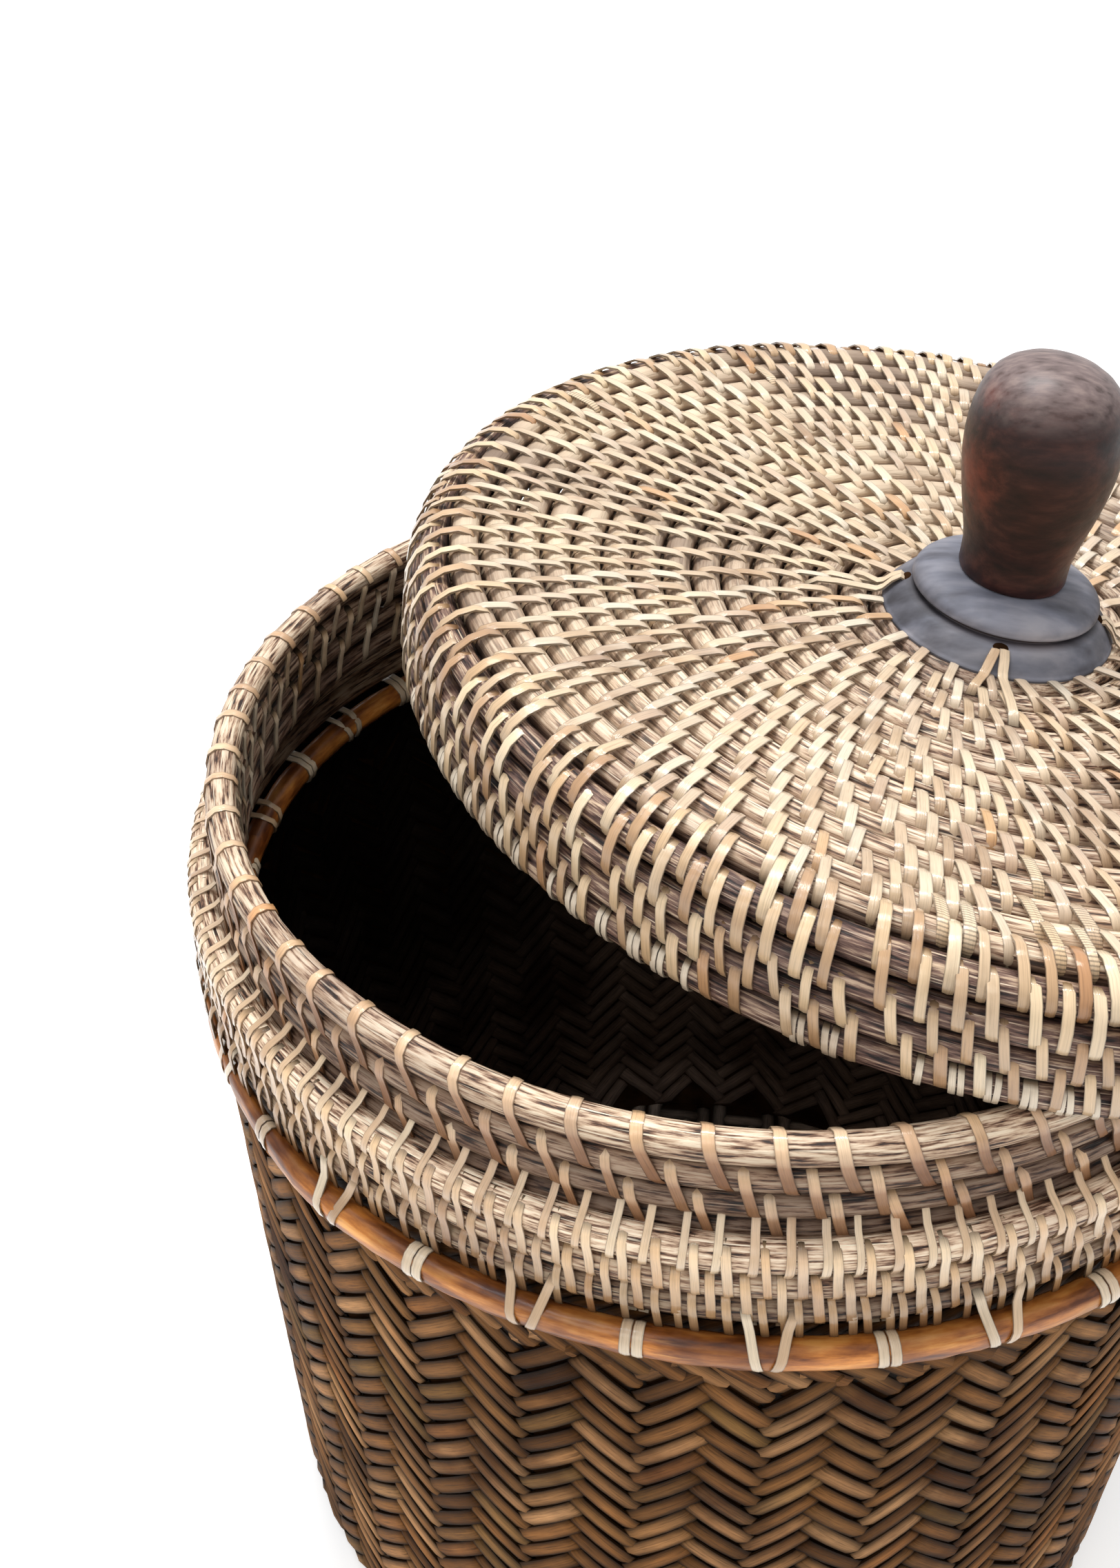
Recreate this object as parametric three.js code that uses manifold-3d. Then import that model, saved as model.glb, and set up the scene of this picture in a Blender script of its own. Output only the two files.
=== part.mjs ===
// Round lidded basket: a plaited wall on a flat plaited base, a coiled neck and ledge at the top,
// two hoops lashed round the wall's upper edge, and a coiled lid with a turned wooden knob.
// Millimetres, +Z up, origin at the centre of the base's underside.
// The lid lies ajar, shifted to +X and +Y and leaning down towards +X.
import * as THREE from 'three';
import { mergeVertices } from 'three/addons/utils/BufferGeometryUtils.js';
import Module from 'manifold-3d';

const wasm = await Module();
wasm.setup();

// ---- sizes of the basket ----
const neckTopHeight = 300;      // centreline of the neck's top row above the floor
const neckRadius = 150;         // centreline of the neck's rows
const neckRows = 4;
const rowPitch = 8.6;           // from one row of rods to the next, on the neck and on the lid
const rowGap = 0.8;             // between two rows on the neck and on the lid
const climbSteps = 5;           // steps of a turn in which a row climbs to the next one
const neckClimbFrom = -15;      // heading, in degrees, where that climb begins

const ledgeRows = 3;
const ledgePitch = 8.9;
const ledgeRowGap = 0.6;
const ledgeStandOff = 0.6;      // between the neck's rods and the ledge's rods, seen from above
const ledgeDrop = 27.1;         // top ledge row below the neck's top row

const wallThickness = 3;
const wallProud = 0.7;          // the wall's upper edge stands this far outside the ledge's rows
const wallTaper = 0.034;        // the wall's radius lost for each millimetre further down
const footBend = 12;            // rounding where the wall turns in to the base
const baseInset = 9;            // flat rim of the wall under the base's level, inside the bend
const baseThickness = 3;

const poleRadius = 4.2;         // the two hoops
const lashings = 36;
const lashingWidth = 7;
const stripThickness = 0.8;     // split strips that lash and tie
const clearance = 0.35;

// ---- sizes of the lid, in its own frame: z = 0 is the centreline of the plate's outer rows ----
const lidPlay = 7.7;            // between the closed lid's skirt and the neck, all round
const lidSkirt = 27.9;          // from the plate's outer rows down to the lowest row
const lidBend = 9.5;            // bend of the rows from the plate into the skirt
const lidDish = 11;             // how far the plate sags at its middle
const lidRowsOnSkirt = 4;       // rows that are wound as the skirt, the others as the plate
const lidClimbSteps = 8;
const lidClimbFrom = -45;
const middleThickness = 6;      // plain middle of the plate, under the knob

const knobBaseRadius = 33.2;
const knobBaseRim = 1;          // upright edge below the bevel
const windingStart = 1;         // the winding's first row lies this far inside the base's rim
const bevelRise = 7.8;          // top of the bevel above the underside of the knob's base
const grooveDepth = 2;
const grooveHeight = 1.4;
const collarRadius = 26.7;
const collarEdge = 1.2;         // upright edge below the dome
const collarRise = 15.4;        // top of the collar above the underside of the knob's base
const knobFootRadius = 15;
const knobRadius = 21.2;
const knobRise = 63.3;          // from the knob's foot to its top
const knobLean = -0.066;        // sideways lean of the knob, for each millimetre of its height
const tenonRadius = 6;
const tenonDepth = 8;
const tieHoles = 4;
const tieHoleRadius = 1.6;
const tieReach = 22;            // how far a tie runs out over the plate
const tieFirstHeading = -95;

// ---- where the lid lies ----
const lidShiftX = 67.9;
const lidShiftY = 32.4;
const lidTilt = 7.34;           // degrees
const lidTiltHeading = 7.45;    // heading towards which the lid leans down

const degree = Math.PI / 180;
const turnSteps = 24;
const ringSides = lashings;     // rings are polygons with one flat for each lashing
const flat = 1 / Math.cos(Math.PI / ringSides);

const straw = new THREE.MeshStandardMaterial({ color: 0xb89b6c, roughness: 0.7, metalness: 0 });
const rods = new THREE.MeshStandardMaterial({ color: 0x7a6552, roughness: 0.85, metalness: 0 });
const plait = new THREE.MeshStandardMaterial({ color: 0x6d5038, roughness: 0.7, metalness: 0 });
const cane = new THREE.MeshStandardMaterial({ color: 0x7d4b20, roughness: 0.4, metalness: 0 });
const darkWood = new THREE.MeshStandardMaterial({ color: 0x2c1c18, roughness: 0.35, metalness: 0 });
const slateWood = new THREE.MeshStandardMaterial({ color: 0x4b4c55, roughness: 0.6, metalness: 0 });

const basket = new THREE.Group();
const lid = new THREE.Group();
basket.add(lid);

function place(name, geometry, material, parent = basket) {
  const mesh = new THREE.Mesh(geometry, material);
  mesh.name = name;
  parent.add(mesh);
  return mesh;
}

function closedFaces(points, faces) {
  // Turn every face round if the solid comes out inside out.
  const geometry = new THREE.BufferGeometry();
  let volume = 0;
  for (const [a, b, c] of faces) {
    volume += points[a].dot(new THREE.Vector3().crossVectors(points[b], points[c]));
  }
  const order = volume < 0 ? faces.map(([a, b, c]) => [a, c, b]) : faces;
  geometry.setAttribute('position', new THREE.Float32BufferAttribute(points.flatMap((p) => p.toArray()), 3));
  geometry.setIndex(order.flat());
  geometry.computeVertexNormals();
  return geometry;
}

function sweep(sections) {
  // Skin a list of equal closed sections and close both ends with flat faces.
  const count = sections[0].length;
  const points = sections.flat();
  const faces = [];
  for (let i = 0; i + 1 < sections.length; i += 1) {
    for (let k = 0; k < count; k += 1) {
      const a = i * count + k;
      const b = i * count + ((k + 1) % count);
      faces.push([a, b, b + count], [a, b + count, a + count]);
    }
  }
  const last = (sections.length - 1) * count;
  for (let k = 1; k + 1 < count; k += 1) {
    faces.push([0, k + 1, k], [last, last + k, last + k + 1]);
  }
  return closedFaces(points, faces);
}

function toSolid(geometry) {
  const bare = geometry.clone();
  bare.deleteAttribute('normal');
  bare.deleteAttribute('uv');
  const merged = mergeVertices(bare, 1e-4);
  const mesh = new wasm.Mesh({
    numProp: 3,
    vertProperties: new Float32Array(merged.attributes.position.array),
    triVerts: new Uint32Array(merged.index.array),
  });
  return new wasm.Manifold(mesh);
}

function toGeometry(solid) {
  const mesh = solid.getMesh();
  const geometry = new THREE.BufferGeometry();
  geometry.setAttribute('position', new THREE.BufferAttribute(new Float32Array(mesh.vertProperties), 3));
  geometry.setIndex(new THREE.BufferAttribute(new Uint32Array(mesh.triVerts), 1));
  geometry.computeVertexNormals();
  return geometry;
}

function turned(profile, sides, scale = 1) {
  const outline = profile.map(([r, z]) => new THREE.Vector2(r * scale, z));
  return new THREE.LatheGeometry(outline, sides).rotateX(Math.PI / 2);
}

function ringTurned(profile) {
  return turned([...profile, profile[0]], ringSides, flat);
}

// ---- wound rows ----
// A row runs level for most of a turn and climbs to the next row in the rest of it, so that the
// edges stay level where they show. Turn 0 starts where a climb has just ended.
function rowsAlong(turns, steps) {
  const share = steps / turnSteps;
  const whole = Math.floor(turns + 1e-9);
  const part = turns - whole;
  return whole + Math.max(0, (part - (1 - share)) / share);
}

function windRows(name, { fromTurn, toTurn, steps, heading, radius, at }) {
  // at(rows) gives [r, z, dr, dz]: the place on the row's path and its direction across the rows.
  const path = [];
  const sections = [];
  const count = Math.round((toTurn - fromTurn) * turnSteps);
  for (let i = 0; i <= count; i += 1) {
    const turn = fromTurn + i / turnSteps;
    const [r, z, dr, dz] = at(rowsAlong(turn, steps));
    const angle = (heading + 360 * (turn + steps / turnSteps)) * degree;
    const out = new THREE.Vector3(Math.cos(angle), Math.sin(angle), 0);
    const centre = out.clone().multiplyScalar(r).setZ(z);
    const section = [];
    for (let k = 0; k < 6; k += 1) {
      const across = radius * Math.cos(k * 60 * degree);
      const off = radius * Math.sin(k * 60 * degree);
      const point = centre.clone().addScaledVector(out, across * dr - off * dz);
      point.z += across * dz + off * dr;
      section.push(point);
    }
    path.push(centre);
    sections.push(section);
  }
  console.log(`${name}: least gap to itself ${(leastSpacing(path) - 2 * radius).toFixed(2)} mm`);
  return sweep(sections);
}

function leastSpacing(path) {
  let least = Infinity;
  const nearest = new THREE.Vector3();
  for (let i = 0; i + 1 < path.length; i += 1) {
    const segment = new THREE.Line3(path[i], path[i + 1]);
    for (let j = 0; j < path.length; j += 1) {
      if (Math.abs(j - i) > turnSteps / 2) {
        segment.closestPointToPoint(path[j], true, nearest);
        least = Math.min(least, nearest.distanceTo(path[j]));
      }
    }
  }
  return least;
}

// ---- basket ----
// A row's polygon lies inside its circle by this share between two steps of a turn.
const chord = Math.cos(Math.PI / turnSteps);
const rowRadius = (rowPitch - rowGap) / 2;
const ledgeRowRadius = (ledgePitch - ledgeRowGap) / 2;
const sideShare = Math.cos(30 * degree);
const ledgeRadius = neckRadius + ((rowRadius + ledgeRowRadius) * sideShare + ledgeStandOff) / chord;
const neckShare = climbSteps / turnSteps;

place('neck_coil', windRows('neck coil', {
  fromTurn: 0,
  toTurn: neckRows - neckShare,
  steps: climbSteps,
  heading: neckClimbFrom,
  radius: rowRadius,
  at: (rows) => [neckRadius, neckTopHeight - rowPitch * (neckRows - 1 - rows), 0, 1],
}), rods);

const wallTopRadius = ledgeRadius + wallThickness / 2 + wallProud;

const ledgeTop = neckTopHeight - ledgeDrop;
const ledgeBottom = ledgeTop - ledgePitch * (ledgeRows - 1) - ledgeRowRadius;
place('ledge_coil', windRows('ledge coil', {
  fromTurn: 0,
  toTurn: ledgeRows - neckShare,
  steps: climbSteps,
  heading: neckClimbFrom,
  radius: ledgeRowRadius,
  at: (rows) => [ledgeRadius, ledgeTop - ledgePitch * (ledgeRows - 1 - rows), 0, 1],
}), rods);

// The hoops lie level with the wall's upper edge, and the lashings pass between it and the ledge.
const lashInner = poleRadius + clearance;
const lashOuter = lashInner + stripThickness;
const hoopHeight = ledgeBottom - clearance - lashOuter;
const wallTop = hoopHeight + poleRadius - clearance / 2;
const outerHoopRadius = wallTopRadius + clearance + poleRadius;
const innerHoopRadius = wallTopRadius - wallThickness - clearance - poleRadius;
const wallFootRadius = wallTopRadius - wallTaper * (wallTop - footBend);

function poleRing(radius) {
  const profile = [];
  for (let k = 0; k < 8; k += 1) {
    const angle = k * 45 * degree;
    profile.push([radius + poleRadius * Math.cos(angle), hoopHeight + poleRadius * Math.sin(angle)]);
  }
  return ringTurned(profile);
}
place('outer_hoop', poleRing(outerHoopRadius), cane);
place('inner_hoop', poleRing(innerHoopRadius), cane);

const bendSteps = 4;
const bendCentre = wallFootRadius - footBend;
const outside = [[wallTopRadius, wallTop]];
const inside = [[wallTopRadius - wallThickness, wallTop]];
for (let i = 0; i <= bendSteps; i += 1) {
  const angle = (i / bendSteps) * 90 * degree;
  outside.push([bendCentre + footBend * Math.cos(angle), footBend * (1 - Math.sin(angle))]);
  const bendInside = footBend - wallThickness;
  inside.push([bendCentre + bendInside * Math.cos(angle), footBend - bendInside * Math.sin(angle)]);
}
const baseRadius = bendCentre - baseInset;
outside.push([baseRadius, 0]);
inside.push([baseRadius, wallThickness]);
let wall = toSolid(ringTurned([...inside, ...outside.reverse()]));
const slotHeight = hoopHeight - (lashInner + lashOuter) / 2;
const slot = toSolid(new THREE.BoxGeometry(
  wallThickness * 3, lashingWidth + 2 * clearance, stripThickness + 2 * clearance));
const lashingHeadings = [];
for (let i = 0; i < lashings; i += 1) {
  lashingHeadings.push((i + 0.5) * (360 / lashings));
}
for (const heading of lashingHeadings) {
  wall = wall.subtract(slot
    .translate([wallTopRadius - wallThickness / 2, 0, slotHeight])
    .rotate([0, 0, heading]));
}
place('wall_weave', toGeometry(wall), plait);
place('base_weave', turned(
  [[0, 0], [(baseRadius - clearance) * flat, 0], [(baseRadius - clearance) * flat, baseThickness], [0, baseThickness]],
  ringSides), plait);

// Each lashing is a band that goes round both hoops, over the wall's edge and back through a slot.
function lashingOutline(radius) {
  const outline = [];
  for (let k = -2; k <= 2; k += 1) {
    const angle = k * 45 * degree;
    outline.push([outerHoopRadius + radius * Math.cos(angle), radius * Math.sin(angle)]);
  }
  for (let k = 2; k <= 6; k += 1) {
    const angle = k * 45 * degree;
    outline.push([innerHoopRadius + radius * Math.cos(angle), radius * Math.sin(angle)]);
  }
  return outline.map(([r, z]) => new THREE.Vector2(r, z + hoopHeight));
}
const bandShape = new THREE.Shape(lashingOutline(lashOuter));
bandShape.holes.push(new THREE.Path(lashingOutline(lashInner).reverse()));
const band = new THREE.ExtrudeGeometry(bandShape, { depth: lashingWidth, bevelEnabled: false })
  .translate(0, 0, -lashingWidth / 2)
  .rotateX(Math.PI / 2);
lashingHeadings.forEach((heading, i) => {
  const name = `hoop_lashing_${String(i + 1).padStart(2, '0')}`;
  place(name, band, straw).rotation.z = heading * degree;
});

// ---- lid ----
// Path of the lid's rows from the middle outwards, over the bend and down the skirt.
const lidRadius = neckRadius + 2 * rowRadius * sideShare + lidPlay;
const plateRadius = lidRadius - lidBend;
const bendLength = lidBend * Math.PI / 2;
const pathEnd = plateRadius + bendLength + lidSkirt - lidBend;
function sag(r) {
  return -lidDish * (1 - (r / plateRadius) ** 2);
}
function lidPath(s) {
  if (s <= plateRadius) {
    const slope = 2 * lidDish * s / plateRadius ** 2;
    const length = Math.hypot(1, slope);
    return [s, sag(s), 1 / length, slope / length];
  }
  const a = Math.min((s - plateRadius) / lidBend, Math.PI / 2);
  const down = Math.max(0, s - plateRadius - bendLength);
  return [plateRadius + lidBend * Math.sin(a), -lidBend * (1 - Math.cos(a)) - down, Math.cos(a), -Math.sin(a)];
}
// As many rows as fit are spread evenly from the rim of the knob's base to the bend.
const innermostRow = knobBaseRadius - windingStart;
const outermostOnPlate = pathEnd - rowPitch * lidRowsOnSkirt;
const platePitches = Math.floor((outermostOnPlate - innermostRow) / rowPitch);
const platePitch = (outermostOnPlate - innermostRow) / platePitches;
const lidRowsOnPlate = platePitches + 1;
const lidRows = lidRowsOnPlate + lidRowsOnSkirt;
const lidShare = lidClimbSteps / turnSteps;
const lidRow = (rows) => lidPath(rows < platePitches
  ? innermostRow + platePitch * rows
  : outermostOnPlate + rowPitch * (rows - platePitches));
// The two lengths of the same winding meet end to end in the middle of a climb.
const joinTurn = lidRowsOnPlate - lidShare / 2;
const buttGap = clearance / (2 * Math.PI * plateRadius);
const lidWinding = { steps: lidClimbSteps, heading: lidClimbFrom, radius: rowRadius, at: lidRow };
place('lid_top_coil', windRows('lid top coil', {
  ...lidWinding, fromTurn: 0, toTurn: joinTurn,
}), rods, lid);
const skirt = windRows('lid skirt coil', {
  ...lidWinding, fromTurn: joinTurn, toTurn: lidRows - lidShare,
});
skirt.rotateZ(2 * Math.PI * buttGap);
place('lid_skirt_coil', skirt, rods, lid);

// Middle of the plate, where the winding starts.
const middleRadius = innermostRow - rowRadius - clearance;
const seat = sag(innermostRow) + rowRadius * sideShare;
place('lid_middle', turned([
  [0, seat - middleThickness], [middleRadius, seat - middleThickness], [middleRadius, seat], [0, seat],
], turnSteps), rods, lid);

// Base of the knob: a bevelled disc, a groove and a domed collar, turned as one piece.
const baseUnder = seat + clearance;
const grooveRadius = collarRadius - grooveDepth;
const bevelTopRadius = (grooveRadius + collarRadius) / 2;
const bevel = (share) => [
  knobBaseRadius - (knobBaseRadius - bevelTopRadius) * share,
  knobBaseRim + (bevelRise - knobBaseRim) * Math.sin(share * 90 * degree),
];
const collarFrom = bevelRise + grooveHeight;
const domeFrom = collarFrom + collarEdge;
const dome = (share) => [
  collarRadius - (collarRadius - knobFootRadius) * (1 - Math.cos(share * 90 * degree)),
  domeFrom + (collarRise - domeFrom) * Math.sin(share * 90 * degree),
];
const socketRadius = tenonRadius + clearance + Math.abs(knobLean) * tenonDepth;
const socketFloor = collarRise - tenonDepth - clearance;
const basePlan = [
  [0, 0], [knobBaseRadius, 0], bevel(0), bevel(0.35), bevel(0.7), bevel(1),
  [grooveRadius, bevelRise], [grooveRadius, collarFrom], [collarRadius, collarFrom],
  dome(0), dome(0.35), dome(0.65), dome(1),
  [socketRadius, collarRise], [socketRadius, socketFloor], [0, socketFloor],
];
const tieHoleAt = (knobBaseRadius + grooveRadius) / 2;
const tieHoleMouth = knobBaseRim + (bevelRise - knobBaseRim) * 0.8;
const tieHeadings = [];
for (let i = 0; i < tieHoles; i += 1) {
  tieHeadings.push(tieFirstHeading + i * (360 / tieHoles));
}
let knobBase = toSolid(turned(basePlan, 32));
const tieHole = toSolid(new THREE.CylinderGeometry(tieHoleRadius, tieHoleRadius, bevelRise * 2, 8)
  .rotateX(Math.PI / 2));
for (const heading of tieHeadings) {
  knobBase = knobBase.subtract(tieHole.translate([tieHoleAt, 0, 0]).rotate([0, 0, heading]));
}
place('knob_base', toGeometry(knobBase), slateWood, lid).position.z = baseUnder;

const knobShape = [
  [0, -tenonDepth], [tenonRadius, -tenonDepth], [tenonRadius, 0], [knobFootRadius, 0],
];
for (const [share, width] of [[0.12, 0.06], [0.25, 0.36], [0.4, 0.7], [0.55, 0.96], [0.66, 1]]) {
  knobShape.push([knobFootRadius + (knobRadius - knobFootRadius) * width, knobRise * share]);
}
const crown = knobRise * 0.34;
for (const turnUp of [25, 45, 62, 76]) {
  const width = Math.cos(turnUp * degree) ** 0.85;
  knobShape.push([knobRadius * width, knobRise - crown * (1 - Math.sin(turnUp * degree))]);
}
knobShape.push([0, knobRise]);
const knob = turned(knobShape, 24);
knob.applyMatrix4(new THREE.Matrix4().makeShear(0, 0, 0, 0, knobLean, 0));
place('knob', knob, darkWood, lid).position.z = baseUnder + collarRise + clearance;

// Ties: a strip comes up through a hole in the knob's base and parts into two legs over the plate.
function strip(points, width, thickness) {
  const side = new THREE.Vector3(0, 1, 0);
  const sections = points.map((point, i) => {
    const before = points[Math.max(i - 1, 0)];
    const after = points[Math.min(i + 1, points.length - 1)];
    const up = new THREE.Vector3().subVectors(after, before).cross(side).normalize();
    return [[1, 1], [1, -1], [-1, -1], [-1, 1]].map(([a, b]) => point.clone()
      .addScaledVector(side, a * width / 2)
      .addScaledVector(up, b * thickness / 2));
  });
  return sweep(sections);
}
const overSeat = clearance + stripThickness;
function tieLeg(sideways) {
  const edge = knobBaseRadius + overSeat;
  const end = knobBaseRadius + tieReach;
  const endHeight = sag(end) + rowRadius * sideShare - baseUnder + overSeat;
  return [
    [tieHoleAt, 0, tieHoleMouth * 0.4],
    [tieHoleAt, 0, tieHoleMouth + overSeat],
    [(tieHoleAt + edge) / 2 + overSeat * 0.6, sideways * 0.15, tieHoleMouth * 0.8],
    [edge, sideways * 0.3, knobBaseRim + overSeat],
    [edge + overSeat * 2, sideways * 0.5, endHeight],
    [end, sideways, endHeight],
  ].map(([x, y, z]) => new THREE.Vector3(x, y, z));
}
const legSpread = tieReach * 0.32;
const narrow = tieHoleRadius * 1.3;
const tie = toGeometry(toSolid(strip(tieLeg(legSpread), narrow, stripThickness))
  .add(toSolid(strip(tieLeg(-legSpread), narrow, stripThickness))));
tieHeadings.forEach((heading, i) => {
  const mesh = place(`knob_tie_${i + 1}`, tie, straw, lid);
  mesh.position.z = baseUnder;
  mesh.rotation.z = heading * degree;
});

// The lid lies on the neck where its lowest row crosses the neck's top row.
const tiltAxis = new THREE.Vector3(-Math.sin(lidTiltHeading * degree), Math.cos(lidTiltHeading * degree), 0);
lid.quaternion.setFromAxisAngle(tiltAxis, lidTilt * degree);
function lidRestHeight() {
  const apart = 2 * rowRadius + clearance;
  let height = -Infinity;
  for (let heading = 0; heading < 360; heading += 1) {
    const point = new THREE.Vector3(Math.cos(heading * degree), Math.sin(heading * degree), 0)
      .multiplyScalar(lidRadius).setZ(-lidSkirt).applyQuaternion(lid.quaternion);
    const across = Math.hypot(point.x + lidShiftX, point.y + lidShiftY) - neckRadius;
    if (Math.abs(across) < apart) {
      height = Math.max(height, Math.sqrt(apart ** 2 - across ** 2) - point.z);
    }
  }
  return height;
}
lid.position.set(lidShiftX, lidShiftY, neckTopHeight + lidRestHeight());

export default basket;
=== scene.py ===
import bpy
import bmesh
import math
import random
import numpy as np
from mathutils import Matrix, Vector


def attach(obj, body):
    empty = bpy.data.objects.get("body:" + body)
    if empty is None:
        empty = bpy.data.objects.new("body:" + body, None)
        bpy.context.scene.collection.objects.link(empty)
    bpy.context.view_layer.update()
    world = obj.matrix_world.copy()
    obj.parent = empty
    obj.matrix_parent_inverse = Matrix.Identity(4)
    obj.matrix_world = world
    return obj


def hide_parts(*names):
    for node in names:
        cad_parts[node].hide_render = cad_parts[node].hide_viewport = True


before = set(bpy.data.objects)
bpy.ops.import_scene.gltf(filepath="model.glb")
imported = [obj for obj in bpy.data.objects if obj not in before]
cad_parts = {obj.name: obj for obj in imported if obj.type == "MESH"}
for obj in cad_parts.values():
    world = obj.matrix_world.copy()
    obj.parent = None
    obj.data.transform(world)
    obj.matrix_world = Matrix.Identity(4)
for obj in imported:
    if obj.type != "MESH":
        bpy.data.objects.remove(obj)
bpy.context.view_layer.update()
print("frame loaded")

mm = 0.001
degree = math.pi / 180
fullTurn = 2 * math.pi
stepsPerTurn = 150
drawnPitch = 8.6        # the strips' paths are drawn over two rows that lie this far apart
lucky = random.Random(41)

# The lid's own frame: its middle axis is z, and z = 0 is the level of the plate's outer rows.
lidPlace = {"at": (67.9, 32.4, 334.19), "tilt": 7.34, "tiltHeading": 7.45 * degree}
lidAxis = Vector((-math.sin(lidPlace["tiltHeading"]), math.cos(lidPlace["tiltHeading"]), 0))
lidMatrix = Matrix.Translation(Vector(lidPlace["at"]) * mm) @ Matrix.Rotation(lidPlace["tilt"] * degree, 4, lidAxis)


def newMaterial(name):
    material = bpy.data.materials.new(name)
    material.use_nodes = True
    return material, material.node_tree


def feed(tree, node, inputs):
    # an input takes a link where another node's output is given, and otherwise a value
    for key, value in inputs.items():
        if isinstance(value, bpy.types.NodeSocket):
            tree.links.new(value, node.inputs[key])
        else:
            node.inputs[key].default_value = value


def paint(material, inputs):
    feed(material.node_tree, material.node_tree.nodes["Principled BSDF"], inputs)
    return material


def addNode(tree, kind, inputs=None, **settings):
    node = tree.nodes.new("ShaderNode" + kind)
    node.location = (-200 * len(tree.nodes), 0)
    for key, value in settings.items():
        setattr(node, key, value)
    feed(tree, node, inputs or {})
    return node.outputs


def addRamp(tree, factor, stops):
    output = addNode(tree, "ValToRGB", {0: factor})[0]
    elements = output.node.color_ramp.elements
    elements.remove(elements[-1])
    for index, (place, colour) in enumerate(stops):
        element = elements[0] if index == 0 else elements.new(place)
        element.position = place
        element.color = (colour, colour, colour, 1) if isinstance(colour, (int, float)) else (*colour, 1)
    return output


def addMix(tree, blend, first, second, factor=1.0):
    return addNode(tree, "Mix", {0: factor, "A": first, "B": second}, data_type="RGBA", blend_type=blend)["Result"]


def addMath(tree, operation, *values):
    return addNode(tree, "Math", dict(enumerate(values)), operation=operation)[0]


def addNoise(tree, place, scale, detail=2.0, rough=0.5):
    return addNode(tree, "TexNoise", {"Vector": place, "Scale": scale, "Detail": detail, "Roughness": rough})["Fac"]


def addRange(tree, value, low, high, toMin=0.0, toMax=1.0, **settings):
    return addNode(tree, "MapRange", {"Value": value, "From Min": low, "From Max": high,
                                      "To Min": toMin, "To Max": toMax}, **settings)[0]


def addMapping(tree, place, inputs, **settings):
    return addNode(tree, "Mapping", {"Vector": place, **inputs}, **settings)[0]


def addBump(tree, height, strength, distance):
    return addNode(tree, "Bump", {"Height": height, "Strength": strength, "Distance": distance})[0]


def linear(*colour):
    # colours are written as they look on a screen, from 0 to 255
    return tuple((c / 255 / 12.92) if c / 255 <= 0.04045 else ((c / 255 + 0.055) / 1.055) ** 2.4 for c in colour)


def tonesOf(*stops):
    return [(place, linear(*colour)) for place, *colour in stops]


def tinted(tones, red, green, blue):
    return [(place, (r * red, g * green, b * blue)) for place, (r, g, b) in tones]


def paintLightByHeight(tree, where, colour, paintedLightLevels):
    # painted light and shade by height: for each height above the floor in mm, how bright the colour is left there
    low, high = paintedLightLevels[0][0], paintedLightLevels[-1][0]
    share = addRange(tree, addNode(tree, "SeparateXYZ", {0: where})[2], low * mm, high * mm)
    stops = [((z - low) / (high - low), tone) for z, tone in paintedLightLevels]
    return addMix(tree, "MULTIPLY", colour, addRamp(tree, share, stops))


def stripMaterial(name, look):
    # split cane: a tone for each strip, grain along it, painted shade along its edges, and painted light and shade
    # along its length, darkest at the ends tucked between the rods
    material, tree = newMaterial(name)
    uv = addNode(tree, "UVMap", uv_map="UVMap")[0]
    tone = addNode(tree, "Attribute", attribute_name="tone")["Fac"]
    where = addNode(tree, "TexCoord")["Object"]
    across, along = addNode(tree, "SeparateXYZ", {0: uv})[:2]
    grainPlace = addNode(tree, "CombineXYZ", {
        0: addMath(tree, "MULTIPLY", across, look["grainAcross"]),
        1: addMath(tree, "MULTIPLY", along, look["grainAlong"]),
        2: addMath(tree, "MULTIPLY", tone, 97.0)})[0]
    grain = addNoise(tree, grainPlace, 1.0, 4.0, 0.65)
    offMiddle = addMath(tree, "ABSOLUTE", addMath(tree, "SUBTRACT", across, 0.5))
    # painted light and shade along the strip: dark where its ends dive between the rods, a little lighter on the arch;
    # it also dims the gloss and the coat there
    paintedLightAlong = addRamp(tree, along, look["paintedLightAlong"])
    # the ramp over offMiddle is painted shade along the strip's edges
    layers = [addRamp(tree, grain, look["grain"]),
              addRamp(tree, addNoise(tree, where, look["stainScale"], 5.0), look["stains"]),
              addRamp(tree, offMiddle, [(0.0, 1.0), (look["edgeFrom"], 1.0), (0.5, look["edge"])]), paintedLightAlong]
    if "ribs" in look:
        ribs = addNode(tree, "TexWave", {"Vector": uv, "Scale": look["ribs"], "Distortion": 0.6},
                       wave_type="BANDS", bands_direction="Y")["Color"]
        layers.append(addRamp(tree, ribs, [(0.2, 0.5), (0.5, 1.0)]))
    colour = addRamp(tree, tone, look["tones"])
    for layer in layers:
        colour = addMix(tree, "MULTIPLY", colour, layer)
    if "paintedLightLevels" in look:
        colour = paintLightByHeight(tree, where, colour, look["paintedLightLevels"])
    bump = addBump(tree, grain, look["bump"], 0.0004)
    if "coat" in look:
        paint(material, {"Coat Weight": addMath(tree, "MULTIPLY", paintedLightAlong, look["coat"]),
                         "Coat Roughness": 0.05, "Coat Normal": bump})
    return paint(material, {
        "Base Color": colour, "Normal": bump,
        "Roughness": addRamp(tree, grain, [(0.2, look["smooth"]), (0.8, look["rough"])]),
        "Specular IOR Level": addMath(tree, "MULTIPLY", paintedLightAlong, look["specular"])})


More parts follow.
